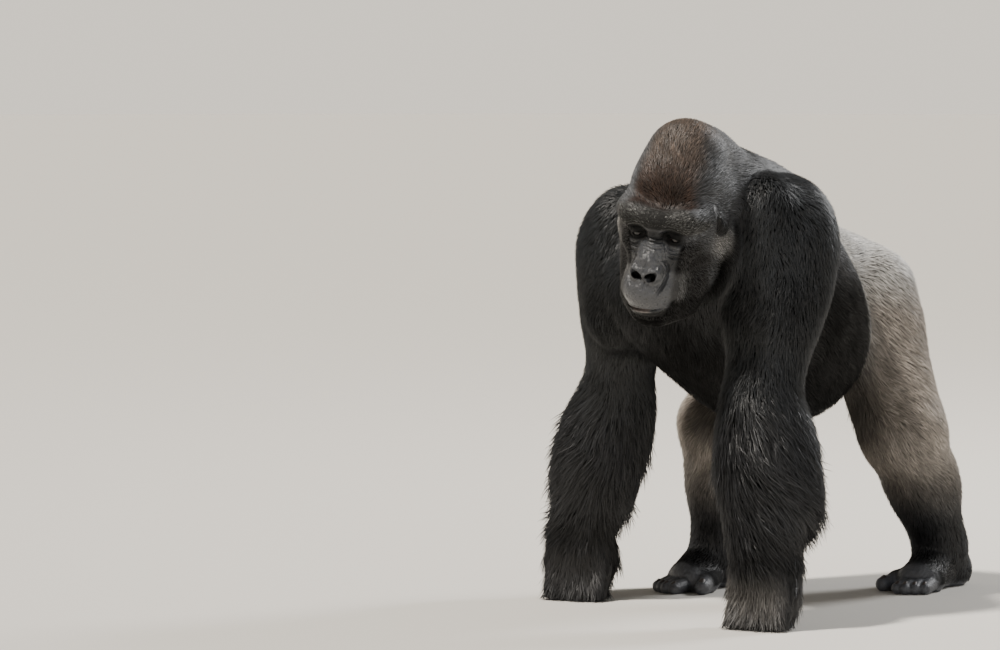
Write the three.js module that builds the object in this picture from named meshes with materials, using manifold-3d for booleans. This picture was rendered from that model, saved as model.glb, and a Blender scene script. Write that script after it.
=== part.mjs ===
// A western lowland gorilla, adult male, standing on its knuckles and soles, as a still model.
// Millimetres, +Z up. The animal faces -Y, its left side is +X, and the ground is z = 0.
// The body is a set of named muscles. Each has a flesh radius and a coat depth over it,
// and blends into its neighbours. Plain primitives are drawn onto the coat's outer surface
// and parted with thin cuts where a person would name the parts.
import * as THREE from 'three';
import { mergeVertices } from 'three/addons/utils/BufferGeometryUtils.js';
import Module from 'manifold-3d';

const wasm = await Module();
wasm.setup();

const v = (x, y, z) => new THREE.Vector3(x, y, z);
const mix = (a, b, t) => a.clone().lerp(b, t);
const turned = (x, y, z) => new THREE.Matrix4().makeRotationFromEuler(new THREE.Euler(
  THREE.MathUtils.degToRad(x), THREE.MathUtils.degToRad(y), THREE.MathUtils.degToRad(z), 'ZYX'));

// ---- driving dimensions ----
const gap = 0.35;                      // thin cut between two parts
const standShift = v(36.1, -17.6, 0);  // puts the origin under the middle of the body
const eyeRadius = 12;
const eyeAt = [41, 119, 5];            // in the head's frame: left, forward, up
const headAt = v(86, -430, 863);       // midway between the ears
const headTurn = { yaw: 9.6, pitch: 20, roll: 10 };
const fingerPitch = 30;                // knuckle to knuckle
const fingerReach = [0.95, 1.05, 1, 0.85];
const toePitch = 17;
const toeReach = [58, 60, 52, 42];
const limbSwell = 8;                   // keeps the trunk's cut clear of a limb's open coat
// shrug lifts a shoulder, fore carries its muscle forward, hang is where forearm hair swings to
const limbs = {
  left: {
    side: 1, shoulder: v(210, -212, 786), elbow: v(222, -322, 476), wrist: v(258, -360, 165), handTurn: 4,
    shrug: 24, fore: 66, forearmHair: 50, hang: v(0, 0, 0),
    hip: v(92, 352, 574), knee: v(184, 326, 362), ankle: v(165, 525, 98), footTurn: 6,
  },
  right: {
    side: -1, shoulder: v(-204, -170, 768), elbow: v(-280, -100, 468), wrist: v(-362, -125, 160),
    handTurn: 14,
    shrug: 0, fore: 30, forearmHair: 42, hang: v(18, 12, 0),
    hip: v(-92, 345, 580), knee: v(-188, 172, 372), ankle: v(-240, 240, 98), footTurn: -8,
  },
};

// ---- flesh: tapered capsules and ellipsoids ----
const flesh = [];
const cone = (part, a, b, ra, rb, coat, blend) => flesh.push({ part, a, b, ra, rb, coat, blend });

function lump(part, centre, radii, coat, blend, turn = turned(0, 0, 0), hollow = false) {
  flesh.push({ part, centre, radii: v(...radii), coat, blend, back: turn.clone().invert(), hollow });
}

function distanceTo(piece, p) {
  if (piece.a) {
    const along = piece.b.clone().sub(piece.a);
    const t = THREE.MathUtils.clamp(p.clone().sub(piece.a).dot(along) / along.lengthSq(), 0, 1);
    const radius = piece.ra + (piece.rb - piece.ra) * t + piece.coat;
    return p.distanceTo(piece.a.clone().addScaledVector(along, t)) - radius;
  }
  const r = piece.radii.clone().addScalar(piece.coat);
  const q = p.clone().sub(piece.centre).applyMatrix4(piece.back).divide(r);
  const near = q.length();
  return near * (near - 1) / Math.max(q.divide(r).length(), 1e-9);
}

// Signed distance to the coat's surface, negative inside, over the chosen pieces.
function coatDistance(p, pieces) {
  let d = 1e3;
  for (const piece of pieces) {
    const e = distanceTo(piece, p);
    const k = piece.blend;
    if (piece.hollow) {
      const h = Math.max(k - Math.abs(d + e), 0) / k;
      d = Math.max(d, -e) + h * h * k / 4;
    } else {
      const h = Math.max(k - Math.abs(d - e), 0) / k;
      d = Math.min(d, e) - h * h * k / 4;
    }
  }
  return d;
}

function layTrunk() {
  lump('chest', v(0, -70, 690), [218, 245, 208], 27, 60, turned(-14, 0, 0));
  lump('belly', v(0, 70, 592), [188, 200, 182], 30, 70, turned(-6, 0, 0));
  lump('pelvis', v(0, 332, 630), [132, 114, 120], 22, 45, turned(-12, 0, 0));
  cone('back', v(0, -60, 800), v(0, 340, 698), 96, 80, 22, 50);
  for (const { side, shoulder, shrug } of Object.values(limbs)) {
    cone('scapula', v(side * 95, -70, 842), shoulder.clone().add(v(-side * 4, 2, 30 + shrug)),
      78, 82, 25, 28);
    cone('pectoral', v(side * 80, -230, 690), shoulder.clone().add(v(-side * 15, -5, -60)), 95, 88, 28, 50);
    lump('haunch', v(side * 86, 370, 668), [66, 84, 70], 22, 45);
    lump('buttock', v(side * 82, 370, 572), [84, 90, 106], 22, 35);
  }
}

function layArm(limb, name) {
  const { side, shoulder: s, elbow: e, wrist: w, forearmHair: hair, hang, shrug, fore } = limb;
  const outward = v(side * 26, 18, 0);
  const part = 'arm_' + name;
  cone(part, s, mix(s, e, 0.45), 85, 68, 28, 45);
  cone(part, s.clone().add(v(-side * 14, -fore, 62 + shrug)), s.clone().add(v(-side * 6, -fore - 8, -130)),
    58, 60, 28, 18);
  cone(part, mix(s, e, 0.35), e, 68, 50, hair - 18, 35);
  cone(part, mix(e, w, 0.1), mix(e, w, 0.45), 46, 54, hair, 24);
  cone(part, mix(e, w, 0.4), w, 54, 38, hair - 8, 35);
  cone(part, mix(e, w, 0.27).addScaledVector(outward, 0.5), mix(e, w, 0.66).add(outward), 48, 48, hair, 30);
  cone(part, mix(e, w, 0.2).addScaledVector(hang, 0.6), mix(e, w, 0.78).add(hang), 38, 36, hair, 30);
}

// Points in a hand's or foot's own frame: x across, y back, z above the ground.
const handPoint = ({ wrist, handTurn }) => (x, y, z) =>
  v(x, y, 0).applyMatrix4(turned(0, 0, handTurn)).add(v(wrist.x, wrist.y, z));
const footPoint = ({ ankle, footTurn }) => (x, y, z) =>
  v(x, y, 0).applyMatrix4(turned(0, 0, footTurn)).add(v(ankle.x, ankle.y, z));
const fingerX = (side, i) => side * fingerPitch * (i - 1.5);
const toeX = (side, i) => side * (toePitch * i - 20);

// Knuckle walking: each finger comes down to its middle joint, runs back along the ground
// and curls up into the palm.
function layHand(limb, name) {
  const part = 'hand_' + name;
  const at = handPoint(limb);
  for (let i = 0; i < 4; i++) {
    const x = fingerX(limb.side, i);
    const reach = fingerReach[i];
    const knuckle = at(x, -6, 96);
    const middle = at(x * 1.04, -8 - 34 * reach, 20);
    const last = at(x * 1.02, -2, 15);
    cone(part, at(x * 0.55, 0, limb.wrist.z - 6), knuckle, 27, 21, 15, 18);
    cone(part, knuckle, middle, 19, 17, 9, 8);
    cone(part, middle, last, 17, 15, 2, 6);
    cone(part, last, at(x * 0.95, 14, 38), 14, 12, 1, 6);
  }
  cone(part, at(0, 4, 130), at(limb.side * 10, 10, 66), 40, 38, 26, 25);
  const thumb = [at(-limb.side * 46, 10, 120), at(-limb.side * 66, 4, 82), at(-limb.side * 64, -6, 52)];
  cone('thumb_' + name, thumb[0], thumb[1], 18, 15, 5, 12);
  cone('thumb_' + name, thumb[1], thumb[2], 14, 12, 1, 6);
}

function layLeg(limb, name) {
  const { hip: h, knee: k, ankle: a } = limb;
  cone('leg_' + name, h, k, 88, 72, 24, 35);
  cone('leg_' + name, k, mix(k, a, 0.5).add(v(0, 12, 0)), 64, 54, 26, 35);
  cone('leg_' + name, mix(k, a, 0.4).add(v(0, 10, 0)), a, 52, 38, 24, 35);
}

function layFoot(limb, name) {
  const part = 'foot_' + name;
  const at = footPoint(limb);
  const { side, ankle } = limb;
  cone(part, ankle, at(0, 48, 36), 38, 40, 12, 25);
  cone(part, at(0, 50, 36), at(side * 4, -60, 38), 36, 36, 6, 20);
  cone(part, at(0, -5, ankle.z - 20), at(0, -100, 34), 42, 30, 8, 25);
  cone(part, at(-side * 20, -110, 26), at(side * 26, -100, 24), 28, 25, 3, 20);
  for (let i = 0; i < 4; i++) {
    const x = toeX(side, i);
    cone(part, at(x, -118, 20), at(x * 1.15, -118 - toeReach[i], 12), 16, 13, 1, 7);
  }
  cone(part, at(-side * 30, -62, 28), at(-side * 58, -100, 22), 26, 20, 2, 14);
  cone(part, at(-side * 58, -100, 20), at(-side * 74, -140, 15), 19, 16, 1, 8);
}

// The head's frame: x to its left, y forward, z up, from midway between the ears.
const headRotation = turned(0, 0, headTurn.yaw).multiply(turned(headTurn.pitch, 0, 0))
  .multiply(turned(0, headTurn.roll, 0));
const headPoint = (x, y, z) => v(x, -y, z).applyMatrix4(headRotation).add(headAt);

function layHead() {
  const bar = (a, b, ra, rb, coat, blend) =>
    cone('head', headPoint(...a), headPoint(...b), ra, rb, coat, blend);
  const ball = (c, r, coat, blend, hollow) =>
    lump('head', headPoint(...c), r, coat, blend, headRotation, hollow);
  ball([0, -28, 40], [88, 98, 98], 12, 40);                           // braincase
  bar([0, 30, 92], [0, -28, 122], 40, 56, 15, 45);                    // crest
  bar([0, -28, 122], [0, -115, 88], 56, 52, 15, 40);
  for (const s of [1, -1]) {
    ball([s * 47, 18, 50], [37, 58, 66], 12, 40);                     // temple
    bar([s * 14, 134, 45], [s * 60, 116, 42], 13, 15, 5, 24);         // brow ridge
    bar([s * 60, 116, 42], [s * 86, 62, 28], 15, 21, 8, 26);
    bar([s * 61, 99, -23], [s * 86, 26, -14], 17, 26, 8, 26);         // cheekbone
    bar([s * 64, 6, -48], [s * 40, 92, -142], 48, 36, 13, 34);        // jaw
  }
  ball([0, 84, -20], [60, 54, 62], 3, 40);                            // face between the eyes
  ball([0, 104, -78], [56, 62, 58], 3, 30);
  ball([-3, 136, -110], [61, 56, 46], 1, 26);                         // muzzle
  ball([-3, 122, -160], [46, 46, 37], 5, 24);                         // chin
  bar([0, 122, 14], [-3, 154, -42], 16, 26, 0, 18);                   // bridge of the nose
  for (const s of [1, -1]) ball([s * 19 - 4, 167, -62], [18, 20, 17], 0, 12);   // nose wings
  ball([-4, 174, -59], [12, 13, 13], 0, 10);
  for (const s of [1, -1]) {
    ball([s * 15 - 4, 187, -65], [12, 14, 8], 0, 4, true);            // nostrils
    ball([s * 43, 148, 9], [26, 25, 18], 0, 13, true);                // orbits
    ball([s * 41, 106, 5], [18, 19, 15], 0, 6);                       // lids
  }
}

function layNeck() {
  cone('neck', v(0, -120, 800), headAt.clone().add(v(-10, 100, 25)), 125, 105, 22, 14);
  cone('neck', v(66, -110, 862), headAt.clone().add(v(-8, 110, 42)), 92, 98, 22, 14);
  cone('neck', v(0, -170, 740), headAt.clone().add(v(0, 95, -75)), 104, 84, 24, 26);
}

layTrunk();
for (const [name, limb] of Object.entries(limbs)) {
  layArm(limb, name);
  layHand(limb, name);
  layLeg(limb, name);
  layFoot(limb, name);
}
layNeck();
layHead();

// ---- drawing a primitive onto the coat ----
// Walks out from a seed inside the body until the coat's surface, or until the reach.
function surfaceRadius(seed, direction, pieces, reach) {
  let inner = 0;
  let outer = 0;
  const at = (r) => seed.clone().addScaledVector(direction, r);
  while (outer < reach) {
    const d = coatDistance(at(outer), pieces);
    if (d > 0) break;
    inner = outer;
    outer = Math.min(outer + Math.max(-d * 0.7, 1.5), reach);
    if (outer === reach && coatDistance(at(reach), pieces) <= 0) return reach;
  }
  for (let i = 0; i < 12; i++) {
    const middle = (inner + outer) / 2;
    if (coatDistance(at(middle), pieces) > 0) outer = middle;
    else inner = middle;
  }
  return inner;
}

// A capsule or sphere whose y axis is laid along the path. Each corner keeps its seed on the
// path and its direction, and moves out to the coat. reach is one number or [start, end].
// A grown limb also swells where it meets the open coat, so that no flap of the trunk is left.
function wrap(geometry, path, pieces, reach, grow = 0, swell = 0) {
  const position = geometry.attributes.position;
  const half = (geometry.parameters.height ?? 0) / 2;
  const curve = path.length > 2 ? new THREE.CatmullRomCurve3(path) : new THREE.LineCurve3(path[0], path[1]);
  const point = v(0, 0, 0);
  const reaches = Array.isArray(reach) ? reach : [reach, reach];
  for (let i = 0; i < position.count; i++) {
    point.fromBufferAttribute(position, i);
    const y = THREE.MathUtils.clamp(point.y, -half, half);
    const t = half ? (y + half) / (2 * half) : 0;
    const seed = curve.getPoint(t);
    const along = curve.getTangent(t);
    const across = v(1, 0, 0).addScaledVector(along, -along.x).normalize();
    const third = along.clone().cross(across);
    const direction = across.multiplyScalar(point.x).addScaledVector(along, point.y - y)
      .addScaledVector(third, -point.z).normalize();
    const limit = reaches[0] + (reaches[1] - reaches[0]) * t;
    const surface = surfaceRadius(seed, direction, pieces, limit);
    const radius = surface + grow + (grow && surface < limit ? swell : 0);
    position.setXYZ(i, ...seed.addScaledVector(direction, radius));
  }
  return geometry;
}

// ---- joining and cutting ----
function toSolid(geometry) {
  const bare = geometry.clone();
  for (const name of Object.keys(bare.attributes)) if (name !== 'position') bare.deleteAttribute(name);
  const merged = mergeVertices(bare, 1e-3);
  return new wasm.Manifold(new wasm.Mesh({
    numProp: 3, vertProperties: merged.attributes.position.array,
    triVerts: new Uint32Array(merged.index.array),
  }));
}

function toGeometry(solid) {
  const mesh = solid.getMesh();
  const geometry = new THREE.BufferGeometry();
  geometry.setAttribute('position', new THREE.BufferAttribute(mesh.vertProperties, 3));
  geometry.setIndex(new THREE.BufferAttribute(mesh.triVerts, 1));
  geometry.computeVertexNormals();
  return geometry;
}

// The whole half of space beyond a plane, as a block. A grown part reaches further past it.
const halfSpace = (point, normal) => (grow) => {
  const size = 2600;
  const block = new THREE.BoxGeometry(size, size, size).translate(0, 0, size / 2);
  const n = normal.clone().normalize();
  block.applyQuaternion(new THREE.Quaternion().setFromUnitVectors(v(0, 0, 1), n));
  return toSolid(block.translate(...point.clone().addScaledVector(n, grow - gap / 2)));
};

const cuts = {};                       // name: [point, normal]; the normal points away from the trunk
const below = (name) => halfSpace(cuts[name][0], cuts[name][1]);
const above = (name) => halfSpace(cuts[name][0], cuts[name][1].clone().negate());
const ground = halfSpace(v(0, 0, -gap / 2), v(0, 0, -1));

function placeCuts() {
  cuts.head = [headPoint(0, -70, -60), headPoint(0, 0.8, 0.6).sub(headAt)];
  cuts.neck = [v(30, -270, 850), v(0.3, -0.8, 0.52)];
  cuts.waist = [v(0, 30, 640), v(0, -1, -0.12)];
  cuts.loin = [v(0, 205, 620), v(0, -1, -0.15)];
  for (const [name, limb] of Object.entries(limbs)) {
    const { shoulder, elbow, wrist, hip, knee, ankle } = limb;
    const bisect = (a, b, c) => b.clone().sub(a).normalize().add(c.clone().sub(b).normalize());
    cuts['elbow_' + name] = [elbow, bisect(shoulder, elbow, wrist)];
    cuts['wrist_' + name] = [wrist, v(0, 0, -1)];
    cuts['knee_' + name] = [knee, bisect(hip, knee, ankle)];
    cuts['ankle_' + name] = [ankle, v(0, -0.35, -1)];
    cuts['knuckles_' + name] = [handPoint(limb)(0, 0, 82), v(0, 0, -1)];
    const toeLine = footPoint(limb)(0, -118, 20);
    cuts['toes_' + name] = [toeLine, footPoint(limb)(0, -119, 20).sub(toeLine)];
  }
}
placeCuts();

// ---- the parts ----
const sphere = (across, rows) => new THREE.SphereGeometry(1, across, rows);
const capsule = (around, caps, rows) => new THREE.CapsuleGeometry(1, 2, caps, around, rows);
const only = (...names) => flesh.filter((piece) => names.includes(piece.part));
const trunkFlesh = only('chest', 'belly', 'pelvis', 'back', 'scapula', 'pectoral', 'haunch', 'buttock',
  'neck');
const solids = {};
const grown = {};                      // the same parts, larger by the gap, to cut their neighbours with

// Makes a part and its grown twin. draw(grow) gives the geometry, the planes and neighbours
// are taken from both, and a crumb that a cut leaves beside the part is dropped.
function makePart(name, draw, planes = [], neighbours = []) {
  for (const [store, grow] of [[solids, 0], [grown, gap]]) {
    let solid = toSolid(draw(grow));
    for (const plane of planes) solid = solid.subtract(plane(grow));
    for (const neighbour of neighbours) solid = solid.subtract(grown[neighbour]);
    store[name] = solid.decompose().sort((a, b) => b.volume() - a.volume())[0];
  }
}

function makeEyes() {
  for (const [name, { side }] of Object.entries(limbs)) {
    const centre = headPoint(side * eyeAt[0], eyeAt[1], eyeAt[2]);
    makePart('eye_' + name, (grow) => new THREE.SphereGeometry(eyeRadius + grow, 9, 6).translate(...centre));
  }
}

// The ear is a thin shell with a rolled rim round a hollow that opens forward and out.
function makeEars() {
  for (const [name, { side }] of Object.entries(limbs)) {
    const turn = headRotation.clone().multiply(turned(-8, side * 8, -side * 32));
    const place = turn.setPosition(headPoint(side * 120, 40, 30));
    makePart('ear_' + name, (grow) => {
      const rim = new THREE.SphereGeometry(1, 9, 6).scale(9 + grow, 20 + grow, 29 + grow);
      const bowl = toSolid(new THREE.SphereGeometry(1, 8, 5).scale(7 - grow, 12 - grow, 17 - grow)
        .translate(side * 8, -3, 3));
      return toGeometry(toSolid(rim).subtract(bowl)).applyMatrix4(place);
    });
  }
}

function makeHead() {
  const pieces = only('head', 'neck');
  const centre = headPoint(0, 30, -10);
  const forward = headPoint(0, 31, -10);
  const crowd = (geometry) => {        // more rows toward the face
    const p = geometry.attributes.position;
    for (let i = 0; i < p.count; i++) {
      const angle = Math.acos(THREE.MathUtils.clamp(p.getY(i), -1, 1));
      const closer = Math.PI * (angle / Math.PI) ** 1.25;
      const spread = angle > 1e-6 && angle < Math.PI - 1e-6 ? Math.sin(closer) / Math.sin(angle) : 0;
      p.setXYZ(i, p.getX(i) * spread, Math.cos(closer), p.getZ(i) * spread);
    }
    return geometry;
  };
  const draw = (grow) => wrap(crowd(sphere(29, 24)), [centre, forward], pieces, 290, grow);
  makePart('head', draw, [above('head')], ['eye_left', 'eye_right', 'ear_left', 'ear_right']);
}

function makeArm(limb, name) {
  const { shoulder, elbow, wrist, side } = limb;
  const own = only('arm_' + name, 'hand_' + name, 'thumb_' + name);
  const shoulderFlesh = [...trunkFlesh, ...own];
  const past = (a, b, d) => b.clone().add(b.clone().sub(a).setLength(d));
  makePart('upper_arm_' + name, (grow) =>
    wrap(capsule(16, 3, 5), [mix(shoulder, v(side * 330, -195, 880), 0.2), past(shoulder, elbow, 60)],
    shoulderFlesh, [142, 122], grow, limbSwell), [below('elbow_' + name)], ['head']);
  makePart('forearm_' + name, (grow) =>
    wrap(capsule(16, 2, 6), [past(wrist, elbow, 40), past(elbow, wrist, 40)],
    own, 130, grow), [above('elbow_' + name), below('wrist_' + name)]);
  const at = handPoint(limb);
  const palm = only('arm_' + name, 'hand_' + name);
  makePart('thumb_' + name, (grow) =>
    wrap(capsule(7, 2, 2), [at(-side * 46, 10, 112), at(-side * 64, -4, 60)],
    only('thumb_' + name), 30, grow), [above('wrist_' + name)]);
  makePart('hand_' + name, (grow) => wrap(sphere(13, 8), [at(0, 0, 118), at(0, 1, 118)], palm, 110, grow),
    [above('wrist_' + name), below('knuckles_' + name)], ['thumb_' + name]);
  for (let i = 0; i < 4; i++) {
    const x = fingerX(side, i);
    const fences = [0.5, -0.5].filter((step) => i + step > 0 && i + step < 3.5 - 0.1).map((step) => {
      const point = at(fingerX(side, i + step), 0, 40);
      return halfSpace(point, at(fingerX(side, i + step * 3), 0, 40).sub(point));
    });
    makePart(`finger_${i + 2}_${name}`, (grow) => wrap(sphere(8, 7), [at(x, -16, 44), at(x, -16, 45)],
      only('hand_' + name), 62, grow), [above('knuckles_' + name), ground, ...fences], ['thumb_' + name]);
  }
}

function makeLeg(limb, name) {
  const { hip, knee, ankle, side } = limb;
  const own = only('leg_' + name, 'foot_' + name);
  const hipFlesh = [...trunkFlesh, ...own];
  const past = (a, b, d) => b.clone().add(b.clone().sub(a).setLength(d));
  makePart('thigh_' + name, (grow) =>
    wrap(capsule(16, 3, 5), [hip.clone().add(v(side * 27, 0, -10)), past(hip, knee, 40)],
    hipFlesh, 112, grow, limbSwell), [below('knee_' + name)]);
  makePart('shank_' + name, (grow) => wrap(capsule(14, 2, 5), [past(ankle, knee, 20), past(knee, ankle, 25)],
    own, 105, grow), [above('knee_' + name), below('ankle_' + name)]);
  const at = footPoint(limb);
  const bigToe = [at(-side * 50, -88, 26), at(-side * 74, -140, 15)];
  makePart('toe_1_' + name, (grow) =>
    wrap(capsule(7, 2, 2), bigToe, only('foot_' + name), 24, grow), [ground]);
  makePart('foot_' + name, (grow) => wrap(capsule(12, 2, 5), [at(0, 42, 44), at(side * 2, -84, 36)],
    own, 84, grow), [above('ankle_' + name), below('toes_' + name), ground], ['toe_1_' + name]);
  for (let i = 0; i < 4; i++) {
    const x = toeX(side, i);
    const fences = [0.5, -0.5].filter((step) => i + step > 0 && i + step < 3.4).map((step) => {
      const point = at(toeX(side, i + step), -140, 15);
      return halfSpace(point, at(toeX(side, i + step * 3), -140, 15).sub(point));
    });
    makePart(`toe_${i + 2}_${name}`, (grow) =>
      wrap(capsule(7, 2, 1), [at(x, -112, 21), at(x * 1.15, -118 - toeReach[i], 12)],
      only('foot_' + name), 22, grow), [above('toes_' + name), ground, ...fences], ['toe_1_' + name]);
  }
}

function makeTrunk() {
  const shoulders = ['upper_arm_left', 'upper_arm_right'];
  const hips = ['thigh_left', 'thigh_right'];
  makePart('neck', (grow) =>
    wrap(capsule(20, 3, 4), [v(10, -150, 780), v(80, -390, 850)], [...trunkFlesh, ...only('head')],
    270, grow), [below('head'), above('neck')], [...shoulders, 'ear_left', 'ear_right']);
  makePart('chest', (grow) =>
    wrap(capsule(22, 3, 4), [v(0, -180, 720), v(0, 100, 655)], trunkFlesh, 360, grow),
    [below('neck'), above('waist')], [...shoulders, 'forearm_left', 'forearm_right']);
  makePart('belly', (grow) =>
    wrap(capsule(22, 2, 4), [v(0, -40, 640), v(0, 270, 610)], trunkFlesh, 330, grow),
    [below('waist'), above('loin')], [...shoulders, ...hips]);
  makePart('pelvis', (grow) =>
    wrap(capsule(18, 3, 3), [v(0, 130, 625), v(0, 350, 615)], trunkFlesh, 300, grow),
    [below('loin')], hips);
}

makeEyes();
makeEars();
makeHead();
for (const [name, limb] of Object.entries(limbs)) {
  makeArm(limb, name);
  makeLeg(limb, name);
}
makeTrunk();

// ---- finishes ----
const finish = (color, roughness) => new THREE.MeshStandardMaterial({ color, roughness, metalness: 0 });
const finishes = {
  blackCoat: finish('#1b1c20', 0.8),
  silverCoat: finish('#5f6064', 0.85),
  bareSkin: finish('#17181b', 0.5),
  eye: finish('#2a1609', 0.1),
};

function finishOf(name) {
  if (name.startsWith('eye')) return finishes.eye;
  if (/^(ear|finger|thumb|toe)/.test(name)) return finishes.bareSkin;
  return /^(belly|pelvis|thigh)/.test(name) ? finishes.silverCoat : finishes.blackCoat;
}

const gorilla = new THREE.Group();
for (const [name, solid] of Object.entries(solids)) {
  const mesh = new THREE.Mesh(toGeometry(solid), finishOf(name));
  mesh.name = name;
  mesh.position.copy(standShift);
  gorilla.add(mesh);
}

export default gorilla;
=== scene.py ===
import math
import bmesh
import bpy
import numpy as np
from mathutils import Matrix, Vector


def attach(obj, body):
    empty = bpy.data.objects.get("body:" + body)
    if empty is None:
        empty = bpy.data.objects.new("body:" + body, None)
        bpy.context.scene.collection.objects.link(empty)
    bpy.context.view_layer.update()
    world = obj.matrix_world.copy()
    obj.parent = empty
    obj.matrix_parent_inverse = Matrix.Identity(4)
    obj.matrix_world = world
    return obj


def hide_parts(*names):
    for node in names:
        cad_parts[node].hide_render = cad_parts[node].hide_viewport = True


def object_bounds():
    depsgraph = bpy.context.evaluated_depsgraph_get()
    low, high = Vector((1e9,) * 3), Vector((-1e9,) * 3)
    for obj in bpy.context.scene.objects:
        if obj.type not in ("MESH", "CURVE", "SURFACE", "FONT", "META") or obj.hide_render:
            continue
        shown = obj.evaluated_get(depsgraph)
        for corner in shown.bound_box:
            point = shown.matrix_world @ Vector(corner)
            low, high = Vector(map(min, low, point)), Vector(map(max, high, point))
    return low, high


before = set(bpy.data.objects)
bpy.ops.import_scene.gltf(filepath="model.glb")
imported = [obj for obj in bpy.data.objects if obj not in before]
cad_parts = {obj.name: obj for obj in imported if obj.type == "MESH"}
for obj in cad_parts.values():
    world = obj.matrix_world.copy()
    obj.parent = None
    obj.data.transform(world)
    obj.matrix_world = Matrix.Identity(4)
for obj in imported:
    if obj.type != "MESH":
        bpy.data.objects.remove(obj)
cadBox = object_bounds()
draws = np.random.default_rng(11)   # every random draw comes from here, in order
print("frame loaded")


def v(x, y, z):
    return np.array((x, y, z), float)


# Camera, floor and lights, in metres.
cameraPlan = {"at": (6.353, -10.127, 1.379), "aim": (-0.452, -0.273, 0.602), "lens": 198.7}
floorPlan = {"radius": 40, "sides": 64, "color": "#d9d6d0"}
lightPlan = {   # name: place, size in metres, watts, colour
    "fill": ((5.5, -3.5, 2.2), 3.0, 45, "#e6efff"),
    "rim": ((2.2, 4.6, 4.2), 1.8, 290, "#ffffff"),
}
sunPlan = {"from": (-0.18, -0.47, 0.86), "strength": 5.2, "spread": 6, "color": "#fff8ee"}
skyPlan = {"horizon": 1.24, "above": 0.22, "color": "#f1e9dc"}   # the horizon is as bright as the far floor


def linear(hexColor):   # sRGB hex to the linear values the shaders take
    channels = [int(hexColor[i:i + 2], 16) / 255 for i in (1, 3, 5)]
    return tuple(c / 12.92 if c <= 0.04045 else ((c + 0.055) / 1.055) ** 2.4 for c in channels)


def aimAt(thing, at, target):
    thing.location = at
    thing.rotation_euler = (Vector(target) - Vector(at)).to_track_quat("-Z", "Y").to_euler()


def makeCamera():
    camera = bpy.data.objects.new("camera", bpy.data.cameras.new("camera"))
    bpy.context.scene.collection.objects.link(camera)
    aimAt(camera, cameraPlan["at"], cameraPlan["aim"])
    camera.data.lens = cameraPlan["lens"]
    camera.data.sensor_width = 36
    camera.data.clip_end = 200
    bpy.context.scene.camera = camera


def makeLights():
    for name, (at, size, watts, color) in lightPlan.items():
        lamp = bpy.data.objects.new(name, bpy.data.lights.new(name, "AREA"))
        bpy.context.scene.collection.objects.link(lamp)
        aimAt(lamp, at, (0, 0, 0.55))
        lamp.data.shape = "DISK"
        lamp.data.size = size
        lamp.data.energy = watts
        lamp.data.color = linear(color)
    sun = bpy.data.objects.new("sun", bpy.data.lights.new("sun", "SUN"))
    bpy.context.scene.collection.objects.link(sun)
    aimAt(sun, sunPlan["from"], (0, 0, 0))
    sun.data.energy = sunPlan["strength"]
    sun.data.angle = math.radians(sunPlan["spread"])
    sun.data.color = linear(sunPlan["color"])
    sky = bpy.data.worlds.new("studio")
    sky.use_nodes = True
    bpy.context.scene.world = sky
    way = addNode(sky, "TexCoord").outputs["Generated"]
    height = addNode(sky, "SeparateXYZ", _0=way).outputs["Z"]
    tone = addNode(sky, "ValToRGB", Fac=height)
    for element, at, name in zip(tone.color_ramp.elements, (0.03, 0.35), ("horizon", "above")):
        element.position = at
        element.color = (*(skyPlan[name] * c for c in linear(skyPlan["color"])), 1)
    sky.node_tree.links.new(tone.outputs["Color"], sky.node_tree.nodes["Background"].inputs["Color"])


def addNode(material, kind, settings=None, **links):   # links go to inputs by name, or as _0, _1 by number
    node = material.node_tree.nodes.new("ShaderNode" + kind)
    for key, value in (settings or {}).items():
        if isinstance(key, str) and hasattr(node, key):
            setattr(node, key, value)
        else:
            node.inputs[key].default_value = value
    for key, source in links.items():
        socket = node.inputs[int(key[1:])] if key[0] == "_" else node.inputs[key.replace("_", " ")]
        material.node_tree.links.new(source, socket)
    return node


def newMaterial(name, settings):
    material = bpy.data.materials.new(name)
    material.use_nodes = True
    shader = material.node_tree.nodes["Principled BSDF"]
    for key, value in settings.items():
        shader.inputs[key].default_value = value
    return material, shader


def link(material, source, shader, name):
    material.node_tree.links.new(source, shader.inputs[name])


def meshFrom(name, points, faces):   # faces: one row each, all with three or all with four corners
    mesh = bpy.data.meshes.new(name)
    sides = faces.shape[1]
    mesh.vertices.add(len(points))
    mesh.vertices.foreach_set("co", np.ascontiguousarray(points, np.float32).ravel())
    mesh.loops.add(faces.size)
    mesh.loops.foreach_set("vertex_index", np.ascontiguousarray(faces, np.int32).ravel())
    mesh.polygons.add(len(faces))
    mesh.polygons.foreach_set("loop_start", np.arange(0, faces.size, sides, dtype=np.int32))
    mesh.update(calc_edges=True)
    mesh.shade_smooth()
    return mesh


def addObject(name, mesh, material):
    thing = bpy.data.objects.new(name, mesh)
    bpy.context.scene.collection.objects.link(thing)
    mesh.materials.append(material)
    return thing


# Plywood, painted and sprayed matt: it has no shine at all.
def makeFloor():
    paint = (*linear(floorPlan["color"]), 1)
    material, _ = newMaterial("mattPaint", {"Base Color": paint, "Roughness": 0.9})
    sides = floorPlan["sides"]
    angles = np.arange(sides) * 2 * np.pi / sides
    ring = np.stack([np.cos(angles), np.sin(angles), 0 * angles], 1) * floorPlan["radius"]
    points = np.vstack([[0, 0, 0], ring])
    nextOne = np.roll(np.arange(sides), -1)
    faces = np.stack([0 * nextOne, np.arange(sides) + 1, nextOne + 1], 1)
    floor = addObject("floor", meshFrom("floor", points, faces), material)


makeCamera()
makeLights()
makeFloor()
print("camera, lights and floor made")


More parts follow.
